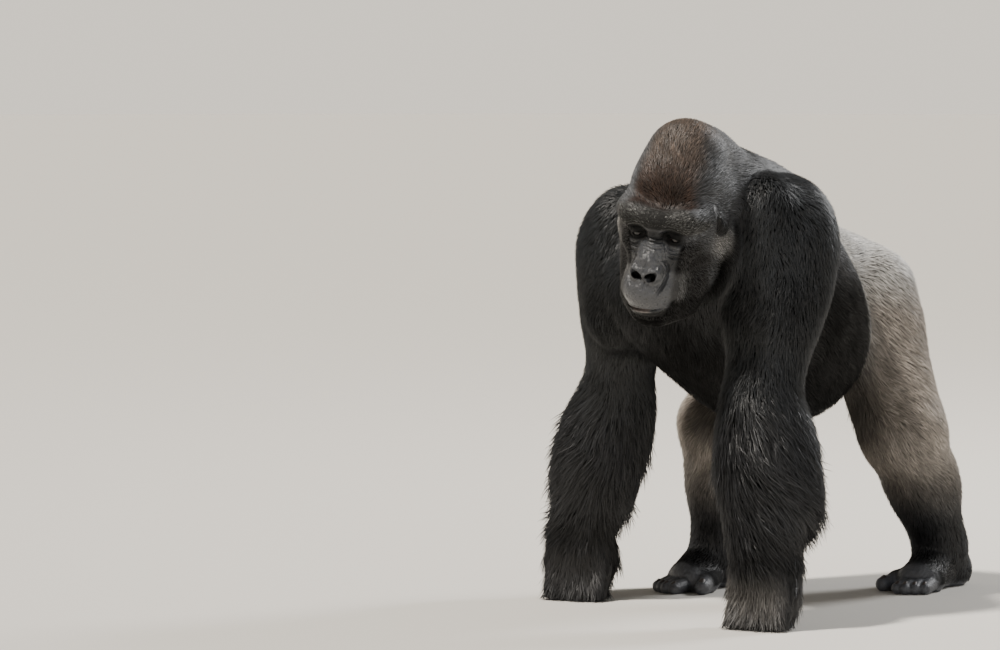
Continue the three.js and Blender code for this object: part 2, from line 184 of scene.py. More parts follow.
# The body, in millimetres and in the animal's own frame: it faces -y, its left is +x and the
# ground is z = 0. Every flesh piece is a tapered capsule or an ellipsoid with a coat over it. The skin lies
# under the coat's surface by part of that coat, and hair tips reach the surface.
mm = 0.001
standShift = v(36.1, -17.6, 0)
eyeRadius = 12
eyeAt = (41, 119, 5)                # in the head's frame: left, forward, up
headAt = v(86, -430, 863)
headTurn = {"yaw": 9.6, "pitch": 20, "roll": 10}
fingerPitch = 30
fingerReach = (0.95, 1.05, 1, 0.85)
toePitch = 17
toeReach = (58, 60, 52, 42)
# Shrug lifts a shoulder, fore sets its front muscle forward, hang is where forearm hair swings to.
limbs = {
    "left": {
        "side": 1, "shoulder": v(210, -212, 786), "elbow": v(222, -322, 476), "wrist": v(258, -360, 165),
        "handTurn": 4, "shrug": 24, "fore": 66, "forearmHair": 50, "hang": v(0, 0, 0),
        "hip": v(92, 352, 574), "knee": v(184, 326, 362), "ankle": v(165, 525, 98), "footTurn": 6,
    },
    "right": {
        "side": -1, "shoulder": v(-204, -170, 768), "elbow": v(-280, -100, 468), "wrist": v(-362, -125, 160),
        "handTurn": 14, "shrug": 0, "fore": 30, "forearmHair": 42, "hang": v(18, 12, 0),
        "hip": v(-92, 345, 580), "knee": v(-188, 172, 372), "ankle": v(-240, 240, 98), "footTurn": -8,
    },
}

# Hair by region, in millimetres: length, width of a tuft, tufts on a square centimetre.
coatKinds = {
    "trunk": (30, 1.9, 8.0),
    "belly": (38, 2.3, 6.4),
    "shoulder": (32, 1.6, 10.6),
    "arm": (40, 1.9, 9.6),
    "forearm": (86, 2.4, 5.8),
    "hand": (46, 2.0, 9.0),
    "thigh": (36, 1.8, 8.8),
    "shank": (36, 2.1, 8.4),
    "foot": (14, 1.6, 9.0),
    "neck": (27, 1.8, 10.0),
    "crown": (17, 1.25, 16.2),
    "face": (9, 1.1, 18.0),
}
skinShare = 0.6      # of the coat's depth that lies over the skin, the rest is flesh and underwool
thinCoat = 4         # a coat this thin or thinner is bare skin


def mix(a, b, t):
    return a + (b - a) * t


def unit(a):
    return a / np.maximum(np.linalg.norm(a, axis=-1, keepdims=True), 1e-9)


def turned(x, y, z):   # degrees about x, then y, then z
    x, y, z = np.radians((x, y, z))
    aboutX = np.array(((1, 0, 0), (0, math.cos(x), -math.sin(x)), (0, math.sin(x), math.cos(x))))
    aboutY = np.array(((math.cos(y), 0, math.sin(y)), (0, 1, 0), (-math.sin(y), 0, math.cos(y))))
    aboutZ = np.array(((math.cos(z), -math.sin(z), 0), (math.sin(z), math.cos(z), 0), (0, 0, 1)))
    return aboutZ @ aboutY @ aboutX


flesh = []
farAway = 120.0


def cone(kind, a, b, ra, rb, coat, blend, lie):
    flesh.append({"kind": kind, "a": a, "b": b, "ra": ra, "rb": rb, "coat": coat, "blend": blend,
                  "lie": unit(lie), "hollow": False, "fine": False})


def lump(kind, centre, radii, coat, blend, lie, turn=np.eye(3), hollow=False, fine=False):
    flesh.append({"kind": kind, "centre": centre, "radii": v(*radii), "coat": coat, "blend": blend,
                  "lie": unit(lie), "turn": turn, "hollow": hollow, "fine": fine})


def layTrunk():
    back = v(0, 1, -0.25)
    lump("trunk", v(0, -70, 690), (218, 245, 208), 27, 60, v(0, 0.7, -0.7), turned(-14, 0, 0))
    lump("belly", v(0, 70, 592), (188, 200, 182), 30, 70, v(0, 0.7, -0.6), turned(-6, 0, 0))
    lump("trunk", v(0, 332, 630), (132, 114, 120), 22, 45, v(0, 0.6, -0.8), turned(-12, 0, 0))
    cone("trunk", v(0, -60, 800), v(0, 340, 698), 96, 80, 22, 50, back)
    for limb in limbs.values():
        side, shoulder = limb["side"], limb["shoulder"]
        cone("shoulder", v(side * 95, -70, 842), shoulder + v(-side * 4, 2, 30 + limb["shrug"]),
             78, 82, 25, 28, v(side * 0.6, 0.5, -0.6))
        cone("shoulder", v(side * 80, -230, 690), shoulder + v(-side * 15, -5, -60), 95, 88, 28, 50,
             v(side * 0.2, 0.1, -1))
        lump("trunk", v(side * 86, 370, 668), (66, 84, 70), 22, 45, v(side * 0.2, 0.6, -0.8))
        lump("thigh", v(side * 82, 370, 572), (84, 90, 106), 22, 35, v(side * 0.1, 0.4, -1))


def layArm(limb):
    side, s, e, w, hair = limb["side"], limb["shoulder"], limb["elbow"], limb["wrist"], limb["forearmHair"]
    outward = v(side * 26, 18, 0)
    down, below = e - s, w - e
    sweep = v(side * 0.75, 0.45, 0)      # forearm hair swings out and back as it falls
    cone("shoulder", s, mix(s, e, 0.45), 85, 68, 28, 45, down)
    cone("shoulder", s + v(-side * 14, -limb["fore"], 62 + limb["shrug"]),
         s + v(-side * 6, -limb["fore"] - 8, -130), 58, 60, 28, 18, down)
    cone("arm", mix(s, e, 0.35), e, 68, 50, hair - 18, 35, unit(down) + 0.1 * sweep)
    cone("forearm", mix(e, w, 0.1), mix(e, w, 0.45), 46, 54, hair, 24, unit(below) + 0.7 * sweep)
    cone("forearm", mix(e, w, 0.4), w, 54, 38, hair - 8, 35, unit(below) + 1.2 * sweep)
    cone("forearm", mix(e, w, 0.27) + 0.5 * outward, mix(e, w, 0.66) + outward, 48, 48, hair, 30,
         unit(below) + 1.1 * sweep)
    hang = limb["hang"]
    cone("forearm", mix(e, w, 0.2) + 0.6 * hang, mix(e, w, 0.78) + hang, 38, 36, hair, 30,
         unit(below) + 0.5 * sweep + unit(hang))


def handPoint(limb):   # a hand's own frame: x across, y back, z above the ground
    def at(x, y, z):
        return turned(0, 0, limb["handTurn"]) @ v(x, y, 0) + v(limb["wrist"][0], limb["wrist"][1], z)
    return at


def footPoint(limb):
    def at(x, y, z):
        return turned(0, 0, limb["footTurn"]) @ v(x, y, 0) + v(limb["ankle"][0], limb["ankle"][1], z)
    return at


def layHand(limb):
    side, at = limb["side"], handPoint(limb)
    for i in range(4):
        x = side * fingerPitch * (i - 1.5)
        spread = v(x * 0.011, -0.35, -1)
        knuckle, middle = at(x, -6, 96), at(x * 1.04, -8 - 34 * fingerReach[i], 20)
        last = at(x * 1.02, -2, 15)
        cone("hand", at(x * 0.55, 0, limb["wrist"][2] - 6), knuckle, 27, 21, 15, 18, spread)
        cone("hand", knuckle, middle, 19, 17, 9, 8, spread)
        cone("hand", middle, last, 17, 15, 2, 6, spread)
        cone("hand", last, at(x * 0.95, 14, 38), 14, 12, 1, 6, spread)
    cone("hand", at(0, 4, 130), at(side * 10, 10, 66), 40, 38, 26, 25, v(side * 0.4, 0.3, -1))
    thumb = (at(-side * 46, 10, 120), at(-side * 66, 4, 82), at(-side * 64, -6, 52))
    cone("hand", thumb[0], thumb[1], 18, 15, 5, 12, v(0, 0, -1))
    cone("hand", thumb[1], thumb[2], 14, 12, 1, 6, v(0, 0, -1))


def layLeg(limb):
    side, h, k, a = limb["side"], limb["hip"], limb["knee"], limb["ankle"]
    cone("thigh", h, k, 88, 72, 24, 35, unit(k - h) + v(side * 0.25, 0.75, 0))
    cone("shank", k, mix(k, a, 0.5) + v(0, 12, 0), 64, 54, 26, 35, unit(a - k) + v(side * 0.15, 0.25, 0))
    cone("shank", mix(k, a, 0.4) + v(0, 10, 0), a, 52, 38, 24, 35, unit(a - k) + v(0, 0.05, -0.5))


def layFoot(limb):
    side, at = limb["side"], footPoint(limb)
    ahead = at(0, -1, 0) - at(0, 0, 0)
    cone("foot", limb["ankle"], at(0, 48, 36), 38, 40, 12, 25, v(0, 0.1, -1))
    cone("foot", at(0, 50, 36), at(side * 4, -60, 38), 36, 36, 6, 20, ahead + v(0, 0, -0.6))
    cone("foot", at(0, -5, limb["ankle"][2] - 20), at(0, -100, 34), 42, 30, 8, 25, ahead + v(0, 0, -0.4))
    cone("foot", at(-side * 20, -110, 26), at(side * 26, -100, 24), 28, 25, 3, 20, ahead)
    for i in range(4):
        x = side * (toePitch * i - 20)
        cone("foot", at(x, -118, 20), at(x * 1.15, -118 - toeReach[i], 12), 16, 13, 1, 4, ahead)
    cone("foot", at(-side * 30, -62, 28), at(-side * 58, -100, 22), 26, 20, 2, 14, ahead)
    cone("foot", at(-side * 58, -100, 20), at(-side * 74, -140, 15), 19, 16, 1, 8, ahead)


headRotation = (turned(0, 0, headTurn["yaw"]) @ turned(headTurn["pitch"], 0, 0)
                @ turned(0, headTurn["roll"], 0))


def headPoint(x, y, z):   # x to its left, y forward, z up, from midway between the ears
    return headRotation @ v(x, -y, z) + headAt


def headWay(x, y, z):
    return headRotation @ v(x, -y, z)


def inHead(points):       # the other way round: body points in the head's frame
    local = (points - headAt) @ headRotation
    return local * v(1, -1, 1)


def layHead():
    def bar(kind, a, b, ra, rb, coat, blend, lie):
        cone(kind, headPoint(*a), headPoint(*b), ra, rb, coat, blend, headWay(*lie))

    def ball(kind, c, r, coat, blend, lie=(0, 0, -1), hollow=False, fine=False):
        lump(kind, headPoint(*c), r, coat, blend, headWay(*lie), headRotation, hollow, fine)

    ball("crown", (0, -28, 40), (88, 98, 98), 12, 40, (0, -1, -0.3))          # braincase
    bar("crown", (0, 30, 92), (0, -28, 122), 40, 56, 15, 45, (0, -0.8, 0.8))   # crest
    bar("crown", (0, -28, 122), (0, -115, 88), 56, 52, 15, 40, (0, -1, -0.2))
    for s in (1, -1):
        ball("crown", (s * 47, 18, 50), (37, 58, 66), 12, 40, (s * 0.5, -0.9, 0.1))    # temple
        bar("face", (s * 14, 134, 45), (s * 60, 116, 42), 13, 15, 5, 24, (s * 0.7, -0.3, 0.7))    # brow
        bar("face", (s * 60, 116, 42), (s * 86, 62, 28), 15, 21, 8, 26, (s * 0.4, -1, 0.2))
        bar("face", (s * 61, 99, -23), (s * 86, 26, -14), 17, 26, 8, 26, (s * 0.3, -0.8, -0.6))   # cheekbone
        bar("face", (s * 64, 6, -48), (s * 40, 92, -142), 48, 36, 13, 34, (s * 0.2, -0.7, -0.8))  # jaw
    ball("face", (0, 84, -20), (60, 54, 62), 3, 40)
    ball("face", (0, 104, -78), (56, 62, 58), 3, 30)
    ball("face", (-3, 136, -110), (61, 56, 46), 1, 26)                          # muzzle
    ball("face", (-3, 122, -160), (46, 46, 37), 5, 24, (0, -0.3, -1))           # chin
    bar("face", (0, 122, 14), (-3, 154, -42), 16, 26, 0, 18, (0, 0, -1))        # bridge of the nose
    for s in (1, -1):
        ball("face", (s * 19 - 4, 167, -62), (18, 20, 17), 0, 12)               # nose wings
    ball("face", (-4, 174, -59), (12, 13, 13), 0, 10)
    for s in (1, -1):
        ball("face", (s * 43, 148, 9), (26, 25, 18), 0, 13, hollow=True)        # orbits
        ball("face", (s * 41, 106, 5), (18, 19, 15), 0, 6)                      # lids


def layNeck():
    lie = v(0, 0.8, -0.6)
    cone("neck", v(0, -120, 800), headAt + v(-10, 100, 25), 125, 105, 22, 14, lie)
    cone("neck", v(66, -110, 862), headAt + v(-8, 110, 42), 92, 98, 22, 14, lie)
    cone("neck", v(0, -170, 740), headAt + v(0, 95, -75), 104, 84, 24, 26, v(0, 0.4, -1))


def earTurn(side):
    return headRotation @ turned(-8, side * 8, -side * 32)


def earPoint(side, x, y, z):   # x out of the ear's bowl, y toward its back edge, z up
    return headPoint(side * 120, 40, 30) + earTurn(side) @ v(x, y, z)


def inEar(points, side):
    return (points - earPoint(side, 0, 0, 0)) @ earTurn(side)


# What only the skin shows: nostrils, lids, lips and ears.
def layFace():
    def ball(c, r, blend, turn=(0, 0, 0), hollow=False):
        lump("face", headPoint(*c), r, 0, blend, headWay(0, 0, -1), headRotation @ turned(*turn),
             hollow, True)

    for s in (1, -1):
        x, y, z = s * eyeAt[0], eyeAt[1], eyeAt[2]
        ball((x, y, z), (14.8, 14.2, 13.6), 9)                                  # the lids over the eye
        ball((x, y + 13, z - 1), (11, 7.5, 3.3), 2, (0, s * 7, 0), True)        # and the slit between them
        ball((x, y + 5, z + 10), (19, 8.5, 5), 9, (0, s * 8, 0))                # heavy upper lid
        ball((s * 42, 128, -10), (17, 6, 5), 8, (0, s * 14, 0))                 # bag below the eye
        ball((s * 15 - 4, 187, -65), (13.5, 16, 9), 3, (0, -s * 38, 0), True)   # nostril
        ball((s * 24 - 4, 179, -58), (5, 9, 4), 4, (0, -s * 55, 0), True)       # and its outer comma
        ball((s * 32 - 3, 154, -104), (22, 18, 22), 16)                         # cheek of the upper lip
    ball((-4, 166, -150), (27, 14, 8), 8)                                       # lower lip
    for s in (1, -1):
        def earBall(x, y, z, r, blend, hollow=False):
            lump("face", earPoint(s, x, y, z), r, 0, blend, headWay(0, 0, -1), earTurn(s), hollow, True)

        earBall(0, 0, 0, (9.5, 22, 31), 4)
        earBall(s * 8.5, -3, 3, (10, 16, 24), 2.5, True)
        earBall(s * 3, 5, 2, (3.5, 2.6, 15), 2.5)
        earBall(s * 5, -15, -7, (4, 4, 6), 3)


layTrunk()
for limb in limbs.values():
    layArm(limb)
    layHand(limb)
    layLeg(limb)
    layFoot(limb)
layNeck()
layHead()
layFace()


# How far the skin, or the coat's surface, stands out from a piece of flesh.
def grownBy(piece, level):
    return piece["coat"] - (skinShare * max(piece["coat"] - thinCoat, 0) if level == "skin" else 0)


def boxOf(piece, level, room):
    room += grownBy(piece, level)
    if "a" in piece:
        room += max(piece["ra"], piece["rb"])
        return np.minimum(piece["a"], piece["b"]) - room, np.maximum(piece["a"], piece["b"]) + room
    reach = np.sqrt(((piece["turn"] * piece["radii"]) ** 2).sum(1))
    return piece["centre"] - reach - room, piece["centre"] + reach + room


def pieceDistance(piece, points, level):   # and the way out of the piece
    extra = grownBy(piece, level)
    if "a" in piece:
        along = (piece["b"] - piece["a"]).astype(np.float32)
        off = points - piece["a"].astype(np.float32)
        t = np.clip(off @ along / (along @ along), 0, 1)
        off -= t[..., None] * along
        far = np.sqrt((off * off).sum(-1)) + 1e-6
        return far - (piece["ra"] + (piece["rb"] - piece["ra"]) * t + extra), off / far[..., None]
    radii = (piece["radii"] + extra).astype(np.float32)
    q = (points - piece["centre"].astype(np.float32)) @ piece["turn"].astype(np.float32) / radii
    near = np.sqrt((q * q).sum(-1))
    q /= radii
    steep = np.sqrt((q * q).sum(-1)) + 1e-9
    return near * (near - 1) / steep, (q / steep[..., None]) @ piece["turn"].T.astype(np.float32)


# Blends a piece into what is there. The way out turns from one to the other with the blend.
def joined(before, wayBefore, piece, d, way):
    k = np.float32(piece["blend"])
    if piece["hollow"]:
        d, way = -d, -way
        h = np.maximum(k - np.abs(before - d), 0) / k
        second = np.where(before > d, h / 2, 1 - h / 2)[..., None]
        return np.maximum(before, d) + h * h * k / 4, wayBefore * (1 - second) + way * second
    h = np.maximum(k - np.abs(before - d), 0) / k
    second = np.where(before < d, h / 2, 1 - h / 2)[..., None]
    return np.minimum(before, d) - h * h * k / 4, wayBefore * (1 - second) + way * second


def bodyField(points, level):
    points = np.ascontiguousarray(points, np.float32)
    found = np.full(len(points), farAway, np.float32)
    ways = np.zeros((len(points), 3), np.float32)
    x, y, z = (np.ascontiguousarray(points[:, i]) for i in range(3))
    for piece in flesh:
        low, high = boxOf(piece, level, piece["blend"] * 1.2 + 15)
        near = (x > low[0]) & (x < high[0]) & (y > low[1]) & (y < high[1])
        near = np.flatnonzero(near & (z > low[2]) & (z < high[2]))
        if len(near):
            d, way = pieceDistance(piece, points[near], level)
            found[near], ways[near] = joined(found[near], ways[near], piece, d, way)
    under = -z > found                  # below the ground, the way out is down
    found[under] = -z[under]
    ways[under] = (0, 0, -1)
    return found, unit(ways)


# The same distance on a grid of even steps, read between its corners.
class Volume:
    def __init__(self, step, level):
        self.step = step
        low, high = np.array(cadBox[0]) / mm - standShift, np.array(cadBox[1]) / mm - standShift
        self.low = np.floor((low - 15) / step) * step
        self.low[2] = -2 * step
        self.count = np.ceil((high + 15 - self.low) / step).astype(int) + 1
        self.axes = [self.low[i] + step * np.arange(self.count[i]) for i in range(3)]
        self.values = np.full(self.count, farAway, np.float32)
        for piece in flesh:
            if piece["fine"]:
                continue
            low, high = boxOf(piece, level, max(piece["blend"], 50) + 10)
            part = tuple(slice(*np.searchsorted(self.axes[i], (low[i], high[i]))) for i in range(3))
            points = np.stack(np.meshgrid(*(self.axes[i][part[i]] for i in range(3)), indexing="ij"), -1)
            if points.size:
                d = pieceDistance(piece, points.astype(np.float32), level)[0]
                zero = np.zeros((1, 1, 1, 1), np.float32)
                self.values[part] = joined(self.values[part], zero, piece, d, zero)[0]
        self.values = np.maximum(self.values, -self.axes[2][None, None, :].astype(np.float32))

    def read(self, points):
        place = np.clip((points - self.low) / self.step, 0, self.count - 1.001)
        cell = place.astype(int)
        t = place - cell
        found = np.zeros(len(points))
        for corner in range(8):
            o = np.array((corner >> 2 & 1, corner >> 1 & 1, corner & 1))
            weight = np.where(o, t, 1 - t).prod(1)
            found += weight * self.values[tuple((cell + o).T)]
        return found

    def slope(self, points):
        steps = np.eye(3) * self.step
        return unit(np.stack([self.read(points + s) - self.read(points - s) for s in steps], 1))


# One skin over all of it, by surface nets: one corner in each cell of the grid that the surface
# crosses, and one face for each grid edge that it crosses.
def surfaceNets(volume):
    values = volume.values
    inside = values < 0
    corners = [(i, j, k) for i in (0, 1) for j in (0, 1) for k in (0, 1)]
    cut = tuple(slice(None, -1) for _ in range(3))
    count = sum(np.roll(inside, (-i, -j, -k), (0, 1, 2))[cut].astype(np.int8) for i, j, k in corners)
    cells = np.argwhere((count > 0) & (count < 8))
    index = np.full(count.shape, -1, np.int64)
    index[tuple(cells.T)] = np.arange(len(cells))
    at = {c: values[tuple((cells + c).T)] for c in corners}
    total, crossings = np.zeros((len(cells), 3)), np.zeros(len(cells))
    for a in corners:
        for axis in range(3):
            if a[axis]:
                continue
            b = a[:axis] + (1,) + a[axis + 1:]
            crosses = (at[a] < 0) != (at[b] < 0)
            share = at[a][crosses] / (at[a][crosses] - at[b][crosses])
            total[crosses] += a
            total[crosses, axis] += share
            crossings[crosses] += 1
    points = (cells + total / crossings[:, None]) * volume.step + volume.low
    faces = []
    for axis in range(3):
        one, two = (axis + 1) % 3, (axis + 2) % 3
        ahead = np.roll(inside, -1, axis)
        edges = np.argwhere(inside != ahead)
        edges = edges[(edges[:, axis] < inside.shape[axis] - 1) & (edges[:, one] > 0) & (edges[:, two] > 0)]
        ring = []
        for back in ((1, 1), (0, 1), (0, 0), (1, 0)):
            cell = edges.copy()
            cell[:, one] -= back[0]
            cell[:, two] -= back[1]
            ring.append(index[tuple(np.minimum(cell, np.array(index.shape) - 1).T)])
        ring = np.stack(ring, 1)
        outward = inside[tuple(edges.T)]
        ring[~outward] = ring[~outward][:, ::-1]
        faces.append(ring[(ring >= 0).all(1)])
    return points, np.concatenate(faces)


def settle(points, rounds=2, limit=6.0):   # moves points onto the skin
    for _ in range(rounds):
        d, way = bodyField(points, "skin")
        points = points - np.clip(d, -limit, limit)[:, None] * way
    return points


def neighbourMean(points, edges):
    both = np.concatenate([edges, edges[:, ::-1]])
    count = np.bincount(both[:, 0], minlength=len(points))[:, None]
    total = np.stack([np.bincount(both[:, 0], points[both[:, 1], i], len(points)) for i in range(3)], 1)
    return total / np.maximum(count, 1)


def relax(points, edges, rounds=2):   # evens out the corners along the skin, then settles them again
    for _ in range(rounds):
        slide = neighbourMean(points, edges) - points
        d, way = bodyField(points, "skin")
        slide -= (slide * way).sum(1)[:, None] * way
        points = points + 0.5 * slide - d[:, None] * way
    return points


skinPlan = {"step": 8.0, "head": 4.0, "face": 2.0, "folds": 1.0}


def wantedStep(points):
    wanted = np.full(len(points), float(skinPlan["step"]))
    h = inHead(points)
    x, y, z = np.abs(h[:, 0]), h[:, 1], h[:, 2]
    wanted[(x < 135) & (y > -150) & (y < 215) & (z > -215) & (z < 190)] = skinPlan["head"]
    wanted[(x < 92) & (y > 55) & (z > -180) & (z < 62)] = skinPlan["face"]
    for side in (1, -1):
        wanted[np.linalg.norm(inEar(points, side) / (26, 34, 42), axis=1) < 1] = skinPlan["face"]
    wanted[(x < 68) & (y > 100) & (z > -38) & (z < 34)] = skinPlan["folds"]
    wanted[(x < 46) & (y > 146) & (z > -92) & (z < -38)] = skinPlan["folds"]
    wanted[(x < 58) & (y > 110) & (np.abs(z + 134) < 18)] = skinPlan["folds"]
    for limb in limbs.values():
        for at, digitsFrom, end, top in ((handPoint(limb), -40, 90, 60), (footPoint(limb), 80, 230, 50)):
            centre = at(0, 0, 0)
            across, forward = at(1, 0, 0) - centre, at(0, -1, 0) - centre
            sideways, ahead = (points - centre) @ across, (points - centre) @ forward
            close = (np.abs(sideways) < 105) & (ahead > -110) & (ahead < end) & (points[:, 2] < 150)
            wanted[close] = np.minimum(wanted[close], skinPlan["head"])
            digits = close & (ahead > digitsFrom) & (points[:, 2] < top) & (points[:, 2] > 1)
            wanted[digits] = np.minimum(wanted[digits], skinPlan["face"])
    return wanted


def arraysOf(mesh):
    points = np.empty(len(mesh.vertices) * 3)
    mesh.vertices.foreach_get("co", points)
    edges = np.empty(len(mesh.edges) * 2, np.int32)
    mesh.edges.foreach_get("vertices", edges)
    return points.reshape(-1, 3), edges.reshape(-1, 2)


def makeSkinMesh():
    points, faces = surfaceNets(Volume(skinPlan["step"], "skin"))
    mesh = meshFrom("skin", points, faces)
    points, edges = arraysOf(mesh)
    points = relax(settle(points), edges, 3)
    mesh.vertices.foreach_set("co", points.astype(np.float32).ravel())
    print("skin's first net:", len(points), "corners")
    for times in (1, 2, 4):               # a stretch is split while its edges are longer than wanted
        have = skinPlan["step"] / times
        body = bmesh.new()
        body.from_mesh(mesh)
        body.verts.ensure_lookup_table()
        fine = wantedStep(points) < have - 0.01
        chosen = [e for e in body.edges if fine[e.verts[0].index] and fine[e.verts[1].index]]
        bmesh.ops.subdivide_edges(body, edges=chosen, cuts=1, use_grid_fill=True)
        body.to_mesh(mesh)
        body.free()
        points, edges = arraysOf(mesh)
        points = relax(settle(points), edges, 2)
        mesh.vertices.foreach_set("co", points.astype(np.float32).ravel())
        print("skin split:", len(points), "corners")
    return mesh, points


# Creases of the bare face: depth and width in millimetres, whether it is drawn on both sides,
# and its points in the head's frame.
faceFolds = {
    "mouth": (6.5, 2.4, False, ((-44, 149, -140), (-32, 161, -142), (-18, 174, -142), (-3, 178, -139),
                                (13, 177, -138), (28, 171, -136), (38, 164, -134))),
    "philtrum": (2.2, 3.0, False, ((-4, 188, -72), (-5, 188, -84), (-6, 184, -98))),
    "septum": (2.6, 2.6, False, ((-1, 168, -30), (-3, 180, -46), (-4, 190, -60))),
    "noseWingLeft": (4.6, 3.0, False, ((20, 148, -34), (34, 150, -42), (41, 152, -56), (38, 166, -74),
                                       (30, 174, -92), (20, 182, -110))),
    "noseWingRight": (3.6, 3.0, False, ((-26, 148, -34), (-38, 150, -44), (-42, 154, -60), (-38, 166, -78),
                                        (-30, 174, -96))),
    "lipFold": (2.6, 3.4, True, ((52, 134, -78), (55, 134, -96), (50, 144, -112))),
    "eyeBagUpper": (2.7, 2.0, True, ((24, 130, -8), (33, 132, -15), (46, 128, -18), (60, 116, -13))),
    "eyeBagMiddle": (2.2, 1.7, True, ((21, 132, -15), (31, 133, -23), (46, 126, -25), (62, 112, -19))),
    "eyeBagLower": (2.0, 2.2, True, ((20, 134, -22), (32, 134, -32), (48, 126, -34), (62, 112, -28))),
    "eyeInner": (1.3, 1.8, True, ((15, 134, 2), (19, 134, -10), (18, 138, -24))),
    "browLower": (2.0, 2.6, True, ((10, 142, 26), (28, 146, 29), (48, 138, 28), (66, 120, 20))),
    "browUpper": (1.2, 2.4, False, ((-44, 142, 40), (-16, 152, 42), (0, 150, 40), (16, 152, 42),
                                    (44, 142, 40))),
    "bridgeOne": (2.4, 1.9, False, ((-15, 132, 6), (0, 138, 3), (15, 132, 6))),
    "bridgeTwo": (2.3, 1.9, False, ((-16, 134, -4), (0, 142, -8), (16, 134, -4))),
    "bridgeThree": (2.0, 1.9, False, ((-16, 140, -15), (0, 148, -19), (16, 140, -15))),
    "bridgeSide": (1.8, 2.0, True, ((21, 138, -26), (27, 140, -36), (24, 146, -46))),
    "chin": (1.6, 4.5, False, ((-30, 148, -160), (0, 158, -162), (30, 148, -160))),
    "cheek": (1.4, 3.0, True, ((62, 116, -56), (66, 108, -80), (60, 108, -104))),
}
wrinklePlan = {"height": 0.45, "size": 9}    # fine unevenness of bare skin, in millimetres


def curveThrough(points, count):   # a smooth run through the points
    points = np.array(points, float)
    ends = np.vstack([2 * points[0] - points[1], points, 2 * points[-1] - points[-2]])
    t = np.linspace(0, len(points) - 1 - 1e-6, count)
    i, t = t.astype(int), (t % 1)[:, None]
    a, b, c, d = (ends[i + n] for n in range(4))
    return 0.5 * (2 * b + (c - a) * t + (2 * a - 5 * b + 4 * c - d) * t**2 + (3 * b - a - 3 * c + d) * t**3)


def foldFace(points, normals):
    moved = points.copy()
    for depth, width, paired, path in faceFolds.values():
        for side in (1, -1) if paired else (1,):
            ends = np.array([headPoint(side * x, y, z) for x, y, z in path])
            line = settle(curveThrough(settle(ends, 4, 20), 40), 3)
            low, high = line.min(0) - 5 * width, line.max(0) + 5 * width
            near = np.flatnonzero(((points > low) & (points < high)).all(1))
            gap = np.linalg.norm(points[near][:, None] - line[None], axis=2)
            d = gap.min(1) / width
            along = gap.argmin(1) / (len(line) - 1)
            fade = np.minimum(1, 5 * np.minimum(along, 1 - along) + 0.15)
            shift = -depth * np.exp(-d * d) + 0.22 * depth * np.exp(-((d - 2) / 0.9) ** 2)
            moved[near] += (shift * fade)[:, None] * normals[near]
    rough = wave(points, wrinklePlan["size"], 41) * wave(points, 2.6 * wrinklePlan["size"], 42)
    return moved + (wrinklePlan["height"] * bareness(points) * rough)[:, None] * normals


def wave(points, size, seed):   # a smooth random field between about -1 and 1, with lumps of this size
    random = np.random.default_rng(seed)
    total = 0
    for _ in range(6):
        way = unit(random.normal(size=3)) * random.uniform(0.6, 1.5) * 2 * np.pi / size
        total = total + np.sin(points @ way + random.uniform(0, 7))
    return total / 2.6


def ramp(x, start, end):   # 0 before start, 1 after end, smooth between
    t = np.clip((x - start) / (end - start), 0, 1)
    return t * t * (3 - 2 * t)


# The lie of the coat and its kind come from the flesh under each point.
kindNames = list(coatKinds)
kindBlend = 11       # how far, in millimetres, one kind runs into the next


def coatAt(points):
    lie = np.zeros((len(points), 3))
    kinds = np.zeros((len(points), len(kindNames)))
    for piece in flesh:
        if piece["fine"] or piece["hollow"]:
            continue
        low, high = boxOf(piece, "skin", 45)
        near = np.flatnonzero(((points > low) & (points < high)).all(1))
        if not len(near):
            continue
        d = pieceDistance(piece, points[near].astype(np.float32), "skin")[0]
        weight = np.exp(-np.maximum(d, 0) / kindBlend)
        lie[near] += weight[:, None] * piece["lie"]
        kinds[near, kindNames.index(piece["kind"])] += weight
    return lie, kinds / np.maximum(kinds.sum(1, keepdims=True), 1e-6)


def bareness(points):   # 1 on bare skin, 0 where hair grows
    h = inHead(points)
    x, y, z = np.abs(h[:, 0]), h[:, 1], h[:, 2]
    halfWidth = np.interp(z, (-175, -150, -120, -90, -60, -20, 25), (20, 38, 50, 51, 48, 54, 62))
    top = 28 - 9 * (x / 66) ** 2
    outside = np.maximum(np.maximum(x - halfWidth, z - top), -156 - z)
    bare = ramp(-outside, -5, 5) * (y > 40)
    for side in (1, -1):
        e = np.abs(inEar(points, side))
        onEar = (e[:, 0] < 22) & (np.hypot((e[:, 1] + 4) / 35, e[:, 2] / 42) < 1) & (x > 88)
        bare = np.maximum(bare, 0.97 * onEar)
    for limb in limbs.values():
        at = handPoint(limb)
        near = np.hypot(*(points - at(0, 0, 0))[:, :2].T) < 105
        bare = np.maximum(bare, near * ramp(-points[:, 2], -26, -12))
        at = footPoint(limb)
        ahead = (points - at(0, 0, 0)) @ (at(0, -1, 0) - at(0, 0, 0))
        near = (np.hypot(*(points - at(0, -60, 0))[:, :2].T) < 150) & (points[:, 2] < 90)
        bare = np.maximum(bare, near * np.maximum(ramp(ahead, 104, 130), ramp(-points[:, 2], -20, -9)))
    return bare


